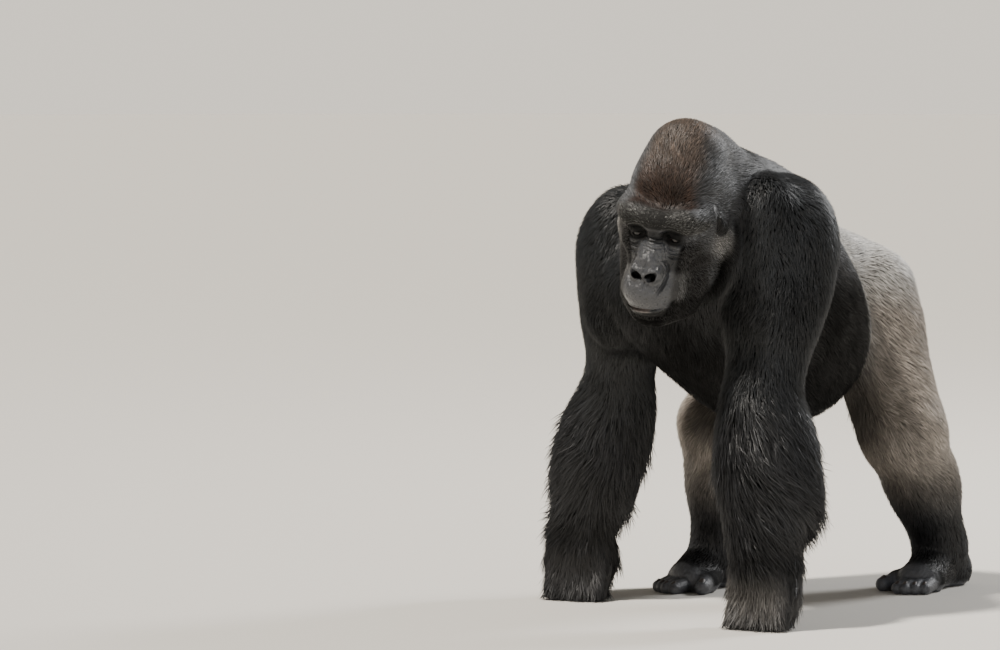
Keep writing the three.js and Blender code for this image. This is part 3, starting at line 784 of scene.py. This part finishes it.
# Markings, with painted shade and a painted sheen among them. The coat and the skin under it take their
# colours from one function.
# Painted light among these: "arm" is black lifted as a painted sheen, "chest" is black hair darkened further
# as painted shade, and the nape's grey also lies on the far temple as a painted rim light.
coatColors = {
    "black": "#141518", "arm": "#191c1f", "chest": "#050505", "napeAndRimLight": "#66686b", "saddle": "#a9a7a3",
    "thigh": "#938b82", "ankle": "#262729", "crest": "#2d1d14", "crown": "#4b4038", "temple": "#434548",
    "brow": "#343433", "muzzle": "#5a5a5a", "cheek": "#171616", "earTuft": "#8d8b88", "handHair": "#444240",
}
# Painted shade among these: the near-black of the eye sockets and of the hollows, and the chin's dark where
# it lies beside the nose and under the lip.
skinColors = {"face": "#333539", "lip": "#5d5552", "hand": "#232427", "foot": "#4b4d52", "hollow": "#030303",
              "socket": "#080808", "chin": "#131313", "ear": "#111111"}
coatLinear = {name: np.array(linear(color)) for name, color in coatColors.items()}
skinLinear = {name: np.array(linear(color)) for name, color in skinColors.items()}


def legFront(points, start, end):   # 1 on the inner front edge of the thighs
    found = np.zeros(len(points))
    for limb in limbs.values():
        h, k = limb["hip"], limb["knee"]
        t = np.clip((points - h) @ (k - h) / ((k - h) @ (k - h)), 0, 1)
        off = points - h - t[:, None] * (k - h)
        ahead = (-0.65 * limb["side"] * off[:, 0] - 0.76 * off[:, 1]) / 88
        found += ramp(ahead, start, end) * (limb["side"] * points[:, 0] > 0) * ramp(points[:, 2], 300, 420)
    return found


def coatColorAt(points, kinds):   # colour and how much single hairs differ
    kind = {name: kinds[:, i] for i, name in enumerate(kindNames)}
    x, y, z = points.T
    color = np.tile(coatLinear["black"], (len(points), 1))
    grain = np.full(len(points), 0.3)

    def paint(name, amount, roughness=None):   # each marking goes over the ones before it
        nonlocal color, grain
        amount = np.clip(amount, 0, 1)
        color = mix(color, coatLinear[name], amount[:, None])
        if roughness is not None:
            grain = mix(grain, roughness, amount)

    blotch = 18 * wave(points, 130, 3)
    trunk = kind["trunk"] + kind["belly"] + 0.6 * kind["shoulder"] + kind["neck"] + kind["thigh"]
    # Shoulders and upper arms: the black lifted toward grey, a painted sheen.
    paint("arm", kind["shoulder"] + kind["arm"])
    # Chest and belly: black hair, darkened further as painted shade on the underside.
    front = kind["belly"] + kind["trunk"] + kind["neck"] + 0.6 * kind["shoulder"]
    paint("chest", front * ramp(-z, -770, -680))
    middle = ramp(-np.abs(x - 20), -110, -60)
    upper = kind["neck"] + kind["shoulder"] + kind["trunk"]
    paint("napeAndRimLight", 0.7 * upper * ramp(z, 820, 900) * middle, 0.4)
    border = 55 + 0.34 * (870 - z) + blotch
    paint("saddle", ramp(y, border, border + 85) * trunk, 0.2)
    leg = kind["thigh"] + kind["shank"]
    upperLeg = (kind["thigh"] + kind["trunk"] * (y > 200)) * ramp(-z, -720, -620)
    paint("thigh", upperLeg + 0.9 * kind["shank"], 0.28)
    # Low on the rear flanks the coat is a little darker: painted shade.
    paint("black", 0.16 * trunk * (y > 150) * ramp(-z, -700, -640) * ramp(z, 480, 560))
    # The inner front edges of the thighs, against the flank, go near-black: painted shade.
    haunch = kind["trunk"] * (y > 200) * ramp(-z, -680, -600)
    paint("chest", 0.85 * (leg + haunch) * legFront(points, 0.5, 0.95))
    paint("black", leg * ramp(-z, -390, -170) + kind["foot"], 0.3)
    paint("ankle", leg * ramp(-z, -150, -80) + kind["foot"], 0.5)
    # Low on the forearms, toward the wrists, near-black: painted shade.
    paint("chest", 0.8 * kind["forearm"] * ramp(-z, -250, -170))
    across = 0.82 * (x - 258) + 0.57 * (y + 360)      # along the left knuckles
    inner = np.where(x > 0, 0.2 + 0.8 * ramp(-across, -50, 0), 0.15)
    paint("handHair", kind["hand"] * inner * ramp(-z, -165, -110) * (0.15 + 0.85 * ramp(z, 0, 80)), 0.45)

    h = inHead(points)
    head = kind["crown"] + kind["face"] + 0.5 * kind["neck"]
    hx, hy, hz = np.abs(h[:, 0]) + 5 * wave(points, 60, 5), h[:, 1], h[:, 2] + 5 * wave(points, 70, 6)
    paint("temple", head * 0.95, 0.55)
    # The far temple takes the nape's grey: a painted rim light.
    paint("napeAndRimLight", 0.45 * head * ramp(-h[:, 0], 45, 80) * ramp(hz, 20, 60))
    paint("crown", head * ramp(-hx, -80, -34) * ramp(hz, 60, 120) * ramp(hy, -120, -30), 0.4)
    crestSide = mix(62, 50, ramp(hz, 60, 150))
    ledge = hz - 63 + 0.8 * (130 - hy)                # above 0 behind the top edge of the brow
    paint("crest", head * ramp(-hx, -crestSide - 14, -crestSide + 10) * ramp(ledge, -5, 20)
          * ramp(hz, 30, 45) * ramp(-hz, -170, -90) * ramp(hy, 10, 60), 0.3)
    paint("brow", head * ramp(hy, 70, 100) * ramp(-ledge, -21, 2) * ramp(hz, 12, 24), 0.85)
    farther = 24 * (h[:, 0] < 0)                      # the right cheek is dark as far as the jaw's edge
    paint("cheek", head * ramp(hy, 26, 66) * ramp(-hz, -12 - farther, 16 - farther)
          * ramp(-hx, -108 - farther, -86 - farther), 0.3)
    paint("muzzle", 0.9 * head * ramp(hy, 96, 130) * ramp(-hz, 56, 74) * ramp(hz, -128, -112)
          * ramp(-hx, -74, -62), 0.45)
    # Under the jaw and chin the hair is near-black: painted shade.
    paint("chest", 0.6 * kind["face"] * ramp(-hz, 112, 136) * ramp(hy, 20, 60))
    # The hollow between jaw and shoulder is painted near-black: painted shade.
    below = h[:, 2] + 0.74 * h[:, 1]                  # the hollow between jaw and shoulder
    paint("chest", (1 - kind["shoulder"]) * (kind["neck"] + kind["trunk"] + kind["face"])
          * ramp(-below, 4, 30) * ramp(-h[:, 1], -75, -40) * ramp(-np.linalg.norm(h, axis=1), -330, -230))
    tuft = ((hx - 114) / 18) ** 2 + ((hy - 42) / 24) ** 2 + ((hz + 18) / 24) ** 2
    paint("earTuft", head * np.exp(-tuft), 0.5)
    return color, grain


def within(points, centre, radii, start, end):   # 1 inside a ball, fading over this share of its radii
    return ramp(-np.linalg.norm((points - centre) / radii, axis=1), -start, -end)


def skinColorAt(points):
    h = inHead(points)
    color = np.tile(skinLinear["hand"], (len(points), 1))

    def paint(name, amount):
        nonlocal color
        color = mix(color, skinLinear[name], amount[:, None])

    paint("face", ramp(-np.linalg.norm(h - (0, 90, -50), axis=1), -190, -170))
    hx, hy, hz = h.T
    lipLine = -140 + 0.07 * hx + 7 * (hx / 52) ** 2
    # Below the mouth: dark chin skin, painted darker as shade under the upper lip.
    paint("chin", ramp(lipLine - hz, -3, 12) * (hy > 60))
    paint("lip", ramp(-np.abs(hz - lipLine + 4), -5, -2) * ramp(-np.abs(hx + 14), -30, -18) * (hy > 140))
    # Between the eyes, under the brow: near-black painted shade.
    paint("socket", 0.75 * within(h, (0, 136, 12), (26, 30, 16), 1.3, 0.7))
    # Beside the nose, under the brow, the chin's dark is laid on as painted shade.
    left = hx > 0
    paint("chin", 0.75 * ramp(np.abs(hx), 27, 40) * ramp(hz, -68, -54) * ramp(-hz, 18 * left, 18 + 14 * left)
          * (hy > 60))
    for s in (1, -1):
        # Each eye socket, under the brow: near-black painted shade.
        paint("socket", 0.97 * within(h, (s * 44, 130, 11), (30, 34, 20), 1.25, 0.8))
        # Inside each nostril: black painted shade.
        paint("hollow", within(h, (s * 15 - 4, 182, -65), (13, 15, 10), 1.1, 0.85))
        e = inEar(points, s)
        paint("ear", within(e, (0, 0, 0), (26, 36, 42), 1.1, 0.85) * (s * hx > 80))
        # The ear's bowl: black painted shade.
        paint("hollow", within(e, (s * 6, -3, 3), (9, 12, 18), 1.15, 0.8))
    paint("foot", ramp(-points[:, 2], -110, -90) * (points[:, 1] > 0))
    return color


def setColors(mesh, name, colors):
    layer = mesh.color_attributes.new(name, "FLOAT_COLOR", "POINT")
    flat = np.ones((len(colors), 4), np.float32)
    flat[:, :3] = colors
    layer.data.foreach_set("color", flat.ravel())


def setNumbers(mesh, name, numbers):
    mesh.attributes.new(name, "FLOAT", "POINT").data.foreach_set("value", numbers.astype(np.float32))


def inMetres(points):
    return (points + standShift) * mm


# Gorilla skin: thick, black and faintly greasy. It shines grey on the high folds, and under the
# hair it is dull. Real pores are half a millimetre apart and fine creases one or two: both are
# drawn coarser, so that they show.
skinFinish = {"poreSize": 1.6, "creaseSize": 6.0, "woolSize": 4.0, "poreDepth": 0.6, "creaseDepth": 3.0,
              "woolDepth": 2.5, "underHair": 0.28, "dryHands": 0.4}


def makeSkinMaterial():
    material, shader = newMaterial("oiledBlackSkin", {"IOR": 1.44, "Specular IOR Level": 0.55})
    color = addNode(material, "Attribute", {"attribute_name": "skinColor"}).outputs["Color"]
    bare = addNode(material, "Attribute", {"attribute_name": "bare"}).outputs["Fac"]
    place = addNode(material, "TexCoord").outputs["Object"]
    poreScale, creaseScale, woolScale = (
        1 / (skinFinish[name] * mm) for name in ("poreSize", "creaseSize", "woolSize"))
    pores = addNode(material, "TexVoronoi", {"Scale": poreScale}, Vector=place)
    creases = addNode(material, "TexNoise", {"Scale": creaseScale, "Detail": 3.0}, Vector=place)
    wool = addNode(material, "TexNoise", {"Scale": woolScale, "Detail": 4.0}, Vector=place)
    mottle = addNode(material, "MapRange", {"From Min": 0.3, "From Max": 0.7, "To Min": 0.8, "To Max": 1.25},
                     Value=creases.outputs["Fac"])
    tinted = addNode(material, "VectorMath", {"operation": "SCALE"}, _0=color,
                     Scale=mottle.outputs["Result"])
    link(material, tinted.outputs["Vector"], shader, "Base Color")
    glow = addNode(material, "RGBToBW", {}, Color=color).outputs["Val"]
    gloss = addNode(material, "MapRange", {"From Max": 0.03, "To Min": 0.03, "To Max": 0.85}, Value=glow)
    link(material, gloss.outputs["Result"], shader, "Specular IOR Level")
    rough = addNode(material, "MapRange", {"To Min": 0.8, "To Max": 0.3}, Value=bare)
    uneven = addNode(material, "Math", {"operation": "MULTIPLY_ADD", 1: 0.18, 2: -0.09},
                     _0=creases.outputs["Fac"])
    total = addNode(material, "Math", {"operation": "ADD"}, _0=rough.outputs["Result"],
                    _1=uneven.outputs["Value"])
    link(material, total.outputs["Value"], shader, "Roughness")
    folds = addNode(material, "Math", {"operation": "MULTIPLY", 1: skinFinish["creaseDepth"] * mm},
                    _0=creases.outputs["Fac"])
    height = addNode(material, "Math", {"operation": "MULTIPLY_ADD", 1: skinFinish["poreDepth"] * mm},
                     _0=pores.outputs["Distance"], _2=folds.outputs["Value"])
    fur = addNode(material, "Math", {"operation": "MULTIPLY", 1: skinFinish["woolDepth"] * mm},
                  _0=wool.outputs["Fac"])
    both = addNode(material, "Mix", {"data_type": "FLOAT"}, Factor=bare, _2=fur.outputs["Value"],
                   _3=height.outputs["Value"])
    bump = addNode(material, "Bump", {"Strength": 0.8, "Distance": 1.0}, Height=both.outputs["Result"])
    link(material, bump.outputs["Normal"], shader, "Normal")
    return material


def makeSkin():
    mesh, points = makeSkinMesh()
    normals = bodyField(points, "skin")[1]
    points = foldFace(points, normals)
    points[:, 2] = np.maximum(points[:, 2], 0)
    mesh.vertices.foreach_set("co", inMetres(points).astype(np.float32).ravel())
    mesh.update()
    lie, kinds = coatAt(points)
    bare = bareness(points)
    underHair = skinFinish["underHair"] * coatColorAt(points, kinds)[0]
    setColors(mesh, "skinColor", mix(underHair, skinColorAt(points), bare[:, None]))
    handsAndFeet = ramp(-points[:, 2], -200, -150)
    setNumbers(mesh, "bare", bare * (1 - skinFinish["dryHands"] * handsAndFeet))
    skin = addObject("skin", mesh, makeSkinMaterial())
    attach(skin, "root")
    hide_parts(*(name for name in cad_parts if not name.startswith("eye")))
    mesh.calc_loop_triangles()
    triangles = np.empty(len(mesh.loop_triangles) * 3, np.int32)
    mesh.loop_triangles.foreach_get("vertices", triangles)
    normals = np.empty(len(points) * 3)
    mesh.vertex_normals.foreach_get("vector", normals)
    print("skin made:", len(points), "corners,", len(triangles) // 3, "triangles")
    return {"points": points, "normals": normals.reshape(-1, 3), "triangles": triangles.reshape(-1, 3),
            "lie": lie, "kinds": kinds, "bare": bare}


# Eyes. A wet ball: dark brown iris, black pupil, brown-black white, all under one clear glossy film.
eyePlan = {"gaze": (-0.12, 1.0, -0.16), "iris": 6.6, "pupil": 2.8, "bulge": 0.7,
           "irisColor": "#24120a", "rimColor": "#0a0504", "pupilColor": "#020202", "whiteColor": "#140d0a"}


def makeEyeMaterial(centre, gaze):
    material, shader = newMaterial("wetEye", {"Roughness": 0.12, "IOR": 1.38, "Coat Weight": 1.0,
                                              "Coat Roughness": 0.02, "Coat IOR": 1.38})
    place = addNode(material, "TexCoord").outputs["Object"]
    off = addNode(material, "VectorMath", {"operation": "SUBTRACT", 1: tuple(centre)}, _0=place)
    along = addNode(material, "VectorMath", {"operation": "DOT_PRODUCT", 1: tuple(gaze)},
                    _0=off.outputs["Vector"])
    angle = addNode(material, "Math", {"operation": "DIVIDE", 1: eyeRadius * mm}, _0=along.outputs["Value"])
    turn = addNode(material, "Math", {"operation": "ARCCOSINE"}, _0=angle.outputs["Value"])
    rings = addNode(material, "ValToRGB", Fac=turn.outputs["Value"])
    iris, pupil = (math.asin(eyePlan[name] / eyeRadius) for name in ("iris", "pupil"))
    stops = ((0, "pupilColor"), (pupil, "pupilColor"), (pupil + 0.03, "irisColor"),
             (iris - 0.08, "irisColor"), (iris, "rimColor"), (iris + 0.08, "whiteColor"))
    while len(rings.color_ramp.elements) < len(stops):
        rings.color_ramp.elements.new(1)
    for element, (at, name) in zip(rings.color_ramp.elements, stops):
        element.position = at
        element.color = (*linear(eyePlan[name]), 1)
    link(material, rings.outputs["Color"], shader, "Base Color")
    return material


def makeEyes():
    for name, limb in limbs.items():
        centre = inMetres(headPoint(limb["side"] * eyeAt[0], eyeAt[1], eyeAt[2]))
        gaze = unit(headWay(*eyePlan["gaze"]))
        ball = bmesh.new()
        bmesh.ops.create_uvsphere(ball, u_segments=40, v_segments=28, radius=eyeRadius * mm)
        for corner in ball.verts:
            out = unit(np.array(corner.co))
            swell = eyePlan["bulge"] * mm * ramp(out @ gaze, 0.78, 0.98)   # the clear front of the eye
            corner.co = Vector(centre + out * (eyeRadius * mm + swell))
        mesh = bpy.data.meshes.new("eyeball_" + name)
        ball.to_mesh(mesh)
        ball.free()
        mesh.shade_smooth()
        eye = addObject("eyeball_" + name, mesh, makeEyeMaterial(centre, gaze))
        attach(eye, "root")
        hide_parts("eye_" + name)


# Nails. Keratin: grown in a flat curved plate, dark horn brown, worn dull with a soft shine.
nailPlan = {   # half the width and the length of each size, in millimetres
    "toe": (6.5, 10), "big": (9.5, 13), "finger": (6.5, 9), "thick": 1.0, "ridges": 1.11, "color": "#3a3431",
}


def makeNailMaterial():
    material, shader = newMaterial("darkNail", {"Roughness": 0.42, "IOR": 1.54})
    place = addNode(material, "TexCoord").outputs["Object"]
    ridgeScale = 1 / (nailPlan["ridges"] * mm)
    ridges = addNode(material, "TexNoise", {"Scale": ridgeScale, "Detail": 2.0}, Vector=place)
    tone = addNode(material, "MapRange", {"To Min": 0.7, "To Max": 1.4}, Value=ridges.outputs["Fac"])
    tinted = addNode(material, "VectorMath", {"operation": "SCALE", 0: linear(nailPlan["color"])},
                     Scale=tone.outputs["Result"])
    link(material, tinted.outputs["Vector"], shader, "Base Color")
    return material


def nailGrid(tip, outward, forward, halfWidth, length):   # a curved plate with a rounded free edge
    across = unit(np.cross(forward, outward))
    rows, columns = 9, 11
    u, w = np.meshgrid(np.linspace(-1, 1, columns), np.linspace(0, 1, rows))
    angle = u * 1.05
    narrow = 1 - 0.25 * (1 - w) ** 2
    reach = length * (w - 1) + 1.5 + 1.6 * (1 - u * u) * w**4
    layers = []
    for lift in (0, -nailPlan["thick"]):
        radius = halfWidth + lift
        edge = 0.6 * np.abs(u) ** 8 * lift
        rise = (np.cos(angle) - 1) * radius * 0.8 + lift * 0.5 + edge - 0.8 * (1 - w) ** 2
        layers.append(tip + (np.sin(angle) * radius * narrow)[..., None] * across + rise[..., None] * outward
                      + reach[..., None] * forward)
    points = np.concatenate([layer.reshape(-1, 3) for layer in layers])
    at = np.arange(rows * columns).reshape(rows, columns)
    quads = np.stack([at[:-1, :-1], at[:-1, 1:], at[1:, 1:], at[1:, :-1]], -1).reshape(-1, 4)
    border = np.concatenate([at[0], at[1:, -1], at[-1, -2::-1], at[-2:0:-1, 0]])
    after = np.roll(border, -1)
    other = rows * columns
    sides = np.stack([border, border + other, after + other, after], 1)
    return points, np.concatenate([quads, quads[:, ::-1] + other, sides])


def makeNails():
    points, faces, base = [], [], 0

    def add(tip, outward, forward, size):
        nonlocal base
        onSkin = settle(tip[None], 4, 20)[0]
        corners, quads = nailGrid(onSkin + 0.5 * outward, outward, forward, *nailPlan[size])
        points.append(corners)
        faces.append(quads + base)
        base += len(corners)

    def addToe(tip, forward, above, size):
        up = unit(v(0, 0, 1) - forward[2] * forward)
        add(tip + above * up, unit(up + 0.5 * forward), unit(forward - 0.5 * up), size)

    for limb in limbs.values():
        side, at = limb["side"], footPoint(limb)
        for i in range(4):
            x = side * (toePitch * i - 20)
            forward = unit(at(x * 1.15, -118 - toeReach[i], 12) - at(x, -118, 20))
            addToe(at(x * 1.15, -122 - toeReach[i], 12), forward, 12, "toe")
        forward = unit(at(-side * 74, -140, 15) - at(-side * 58, -100, 20))
        addToe(at(-side * 76, -146, 16), forward, 14, "big")
        at = handPoint(limb)
        for i in range(4):
            x = side * fingerPitch * (i - 1.5)
            forward = unit(at(x * 0.95, 14, 38) - at(x * 1.02, -2, 15))
            outward = unit(at(0, 1, -0.7) - at(0, 0, 0))
            add(at(x * 0.95, 14, 38) + 11 * outward, outward, forward, "finger")
        forward = unit(at(-side * 64, -6, 52) - at(-side * 66, 4, 82))
        inward = at(-side, 0, 0) - at(0, 0, 0)
        add(at(-side * 64, -6, 50) + 10 * inward, inward, forward, "finger")
    nails = addObject("nails", meshFrom("nails", inMetres(np.concatenate(points)), np.concatenate(faces)),
                      makeNailMaterial())
    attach(nails, "root")


# The coat. Each tuft is a closed three-sided lock: it leaves the skin at a point, bends over,
# lies along the coat's surface, and ends in a point there. Its shading turns partly to the
# body's own way out, so that the coat shines as one form.
coatPlan = {
    "step": 9,                          # of the grid that holds the coat's surface
    "share": 0.965, "most": 199000,     # share of the tufts, and most triangles in one piece
    "sunk": 1.5, "rise": 2.0, "beyond": 8,
    "yaw": 0.12, "swirl": 0.2, "swirlSize": 100, "bend": 0.08,
    "lengths": (0.72, 1.18), "widths": (0.75, 1.25), "lifts": (0.66, 1.1),
    "form": 0.66, "scatter": 0.11,
    "rootTone": 0.5, "tipTone": 1.25,   # a tuft's colour from root to tip
    "patch": 0.18, "patchSize": 34,     # how far, and how wide, the coat's tone drifts
    "fringe": 0.9,                      # how much longer the hair on the thigh's front edge is
}
tuftRings = {   # how far along the tuft each ring sits, its height in the coat and its width
    "short": ((0.42, 0.62, 1.0),),
    "long": ((0.28, 0.5, 1.0), (0.64, 0.84, 0.75)),
}


def chartLines():   # the lines that the coat's pieces are unrolled about: start, end, radius
    lines = {
        "head": (headPoint(0, -60, 20), headPoint(0, 70, -30), 110),
        "neck": (v(20, -160, 790), v(60, -330, 830), 150),
        "chest": (v(0, -200, 720), v(0, -20, 690), 230),
        "back": (v(0, 80, 660), v(0, 200, 640), 220),
        "rump": (v(0, 300, 620), v(0, 350, 610), 150),
    }
    for name, limb in limbs.items():
        s, e, w, h, k, a = (limb[joint] for joint in ("shoulder", "elbow", "wrist", "hip", "knee", "ankle"))
        lines["upper_arm_" + name] = (mix(s, e, 0.15), mix(s, e, 0.85), 100)
        lines["forearm_" + name] = (mix(e, w, 0.12), mix(e, w, 0.85), 85)
        lines["hand_" + name] = (w - v(0, 0, 30), w - v(0, 0, 110), 55)
        lines["thigh_" + name] = (mix(h, k, 0.3), mix(h, k, 0.85), 105)
        lines["shank_" + name] = (mix(k, a, 0.15), mix(k, a, 0.85), 75)
        at = footPoint(limb)
        lines["foot_" + name] = (at(0, 30, 40), at(0, -110, 25), 45)
    return lines


def chartOf(points, line):   # unrolls points about a line with round ends, to 0..1 each way
    a, b, radius = line
    length = np.linalg.norm(b - a)
    axis = (b - a) / length
    side = unit(np.cross(axis, v(0.3, 0.2, 1)))
    third = np.cross(axis, side)
    off = points - a
    t = off @ axis
    turn = np.arctan2(off @ third, off @ side)
    out = np.hypot(off @ third, off @ side)
    cap = radius * np.pi / 2
    before = np.arctan2(out, np.maximum(-t, 0)) * radius
    after = cap + length + (np.pi / 2 - np.arctan2(out, np.maximum(t - length, 0))) * radius
    along = np.where(t < 0, before, np.where(t > length, after, cap + t))
    return np.stack([turn / (2 * np.pi) + 0.5, along / (length + 2 * cap)], 1)


def sampleRoots(skin):   # more roots where the coat is denser, evenly spread over the skin
    corners = skin["triangles"]
    a, b, c = (skin["points"][corners[:, i]] for i in range(3))
    area = np.linalg.norm(np.cross(b - a, c - a), axis=1) / 200       # square centimetres
    density = skin["kinds"] @ np.array([kind[2] for kind in coatKinds.values()])
    want = area * (density * (1 - skin["bare"]))[corners].mean(1) * coatPlan["share"]
    reach = np.cumsum(want)
    count = int(reach[-1])
    picks = (np.arange(count) + draws.random(count)) * reach[-1] / count
    chosen = np.minimum(np.searchsorted(reach, picks), len(corners) - 1)
    r, s = np.sqrt(draws.random(count)), draws.random(count)
    weights = np.stack([1 - r, r * (1 - s), r * s], 1)

    def at(values):
        return (values[corners[chosen]] * weights.reshape(weights.shape + (1,) * (values.ndim - 1))).sum(1)

    return {name: at(skin[name]) for name in ("points", "normals", "lie", "kinds", "bare")}


def growTufts(roots, rings, surface):
    p, n = roots["points"], unit(roots["normals"])
    swirl = coatPlan["swirl"] * np.stack([wave(p, coatPlan["swirlSize"], seed) for seed in (21, 22, 23)], 1)
    t = unit(roots["lie"]) + swirl
    t = unit(t - (t * n).sum(1)[:, None] * n)
    side = np.cross(n, t)
    yaw = draws.normal(0, coatPlan["yaw"], len(p))[:, None]
    t = unit(t + yaw * side)
    side = np.cross(n, t)
    depth = np.maximum(-surface.read(p), coatPlan["rise"])
    length = roots["length"] * draws.uniform(*coatPlan["lengths"], len(p))
    width = roots["width"] * draws.uniform(*coatPlan["widths"], len(p))
    lift = draws.uniform(*coatPlan["lifts"], len(p))
    flat = np.sqrt(np.maximum(length**2 - depth**2, (0.55 * length) ** 2))
    bend = draws.normal(0, coatPlan["bend"], len(p)) * length
    lines = [p - coatPlan["sunk"] * n]
    for along, height, _ in (*rings, (1.0, 1.0, 0)):
        point = p + (flat * along)[:, None] * t + (depth * height * lift)[:, None] * n
        point = point + (bend * along**2)[:, None] * side
        wanted = -depth * (1 - height * lift)
        fix = np.clip(wanted - surface.read(point), -25 * (1 - roots["free"]), 25)
        point = point + fix[:, None] * surface.slope(point)
        point[:, 2] = np.maximum(point[:, 2], 0.6)
        lines.append(point)
    scatter = draws.normal(0, coatPlan["scatter"], (len(p), 3))
    corners, ways = [lines[0]], [n]
    for i, (_, _, wide) in enumerate(rings, 1):
        run = unit(lines[i + 1] - lines[i - 1])
        out = unit(np.cross(side, run))
        out *= np.sign((out * n).sum(1))[:, None] + 1e-9
        across = unit(np.cross(run, out))
        w = (width * wide)[:, None]
        for outward, sideways in ((0.36, 0), (-0.14, -0.5), (-0.14, 0.5)):
            corners.append(lines[i] + w * (outward * out + sideways * across))
            ways.append(unit(out * outward + across * sideways))
    corners.append(lines[-1])
    ways.append(n)
    each = len(corners)
    points = np.stack(corners, 1)
    low, high = (np.array(c) / mm - standShift for c in cadBox)
    points = np.clip(points, low - coatPlan["beyond"], high + coatPlan["beyond"])
    points[:, :, 2] = np.maximum(points[:, :, 2], 0.3)
    form = coatPlan["form"]
    normals = unit(form * n[:, None] + (1 - form) * np.stack(ways, 1) + scatter[:, None])
    faces = [(0, 1 + i, 1 + (i + 1) % 3) for i in range(3)]
    for ring in range(len(rings) - 1):
        for i in range(3):
            a, b = 1 + ring * 3 + i, 1 + ring * 3 + (i + 1) % 3
            faces += [(a, a + 3, b), (b, a + 3, b + 3)]
    top = 1 + (len(rings) - 1) * 3
    faces += [(top + i, each - 1, top + (i + 1) % 3) for i in range(3)]
    shares = np.array([0.0] + [ring[0] for ring in rings for _ in range(3)] + [1.0])
    return points, normals, np.array(faces), shares


# Hair: solid black keratin, lying close. It is glossy along the lock, so the coat has a
# blue-grey sheen where it turns to the light, and silver hairs are rougher and scatter it.
hairFinish = {"Roughness": 0.5, "IOR": 1.55, "Specular IOR Level": 0.42}


def makeHairMaterial():
    material, shader = newMaterial("glossyHair", hairFinish)
    color = addNode(material, "Attribute", {"attribute_name": "hairColor"}).outputs["Color"]
    link(material, color, shader, "Base Color")
    glow = addNode(material, "RGBToBW", {}, Color=color).outputs["Val"]
    gloss = addNode(material, "MapRange", {"From Max": 0.008, "To Min": 0.03,
                                           "To Max": hairFinish["Specular IOR Level"]}, Value=glow)
    link(material, gloss.outputs["Result"], shader, "Specular IOR Level")
    return material


def makeCoat(skin):
    surface = Volume(coatPlan["step"], "coat")
    print("coat's surface read")
    roots = sampleRoots(skin)
    table = np.array(list(coatKinds.values()))
    roots["length"], roots["width"] = roots["kinds"] @ table[:, 0], roots["kinds"] @ table[:, 1]
    loose = roots["kinds"][:, [kindNames.index(name) for name in ("forearm", "hand")]].sum(1)
    fringe = legFront(roots["points"], 0.45, 1.0) * (roots["kinds"][:, kindNames.index("thigh")] > 0.3)
    roots["length"] *= 1 + coatPlan["fringe"] * fringe
    roots["free"] = np.clip(draws.random(len(loose)) ** 1.5 * 1.3 * (loose + fringe), 0, 1)
    thin = 1 - 0.65 * ramp(roots["bare"], 0.0, 0.7)      # shorter and finer toward bare skin
    for side in (1, -1):
        thin *= 1 - 0.7 * ramp(-np.linalg.norm(inEar(roots["points"], side) / (1, 1, 1.3), axis=1), -52, -34)
    roots["length"] *= thin
    roots["width"] *= 0.5 + 0.5 * thin
    color, grain = coatColorAt(roots["points"], roots["kinds"])
    drift = coatPlan["patch"] * wave(roots["points"], coatPlan["patchSize"], 31)
    shade = np.exp(grain * draws.normal(size=len(color)) + drift)
    roots["color"] = color * shade[:, None]
    lines = chartLines()
    gaps = []
    for a, b, radius in lines.values():
        t = np.clip((roots["points"] - a) @ (b - a) / ((b - a) @ (b - a)), 0, 1)
        gaps.append(np.linalg.norm(roots["points"] - a - t[:, None] * (b - a), axis=1) - radius)
    nearest = np.argmin(gaps, 0)
    material = makeHairMaterial()
    total = 0
    for number, (name, line) in enumerate(lines.items()):
        rings = tuftRings["long" if name.startswith("forearm") else "short"]
        mine = np.flatnonzero(nearest == number)
        most = coatPlan["most"] // (6 * len(rings))
        for part in range(math.ceil(len(mine) / most)):
            own = mine[part * most:(part + 1) * most]
            some = {key: values[own] for key, values in roots.items()}
            points, normals, faces, shares = growTufts(some, rings, surface)
            count, each = points.shape[:2]
            triangles = (faces[None] + (np.arange(count) * each)[:, None, None]).reshape(-1, 3)
            title = "coat_" + name + ("" if part == 0 else f"_{part + 1}")
            mesh = meshFrom(title, inMetres(points.reshape(-1, 3)), triangles)
            mesh.normals_split_custom_set_from_vertices(normals.reshape(-1, 3))
            tone = mix(coatPlan["rootTone"], coatPlan["tipTone"], shares)
            colors = np.clip(some["color"][:, None] * tone[None, :, None], 0, 1)
            setColors(mesh, "hairColor", colors.reshape(-1, 3))
            chart = chartOf(some["points"], line) * 0.99 + 0.003
            corner = np.stack([np.tile((0.5, 0, 1), each)[:each] * 0.003, shares * 0.003], 1)
            spots = (chart[:, None] + corner[None]).reshape(-1, 2)
            layer = mesh.uv_layers.new(name="OFBake")
            layer.data.foreach_set("uv", spots[triangles.ravel()].astype(np.float32).ravel())
            piece = addObject(title, mesh, material)
            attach(piece, "root")
            total += len(triangles)
            print(title, count, "tufts,", len(triangles), "triangles")
    print("coat made:", total, "triangles")


skin = makeSkin()
makeEyes()
makeNails()
print("eyes and nails made")
makeCoat(skin)
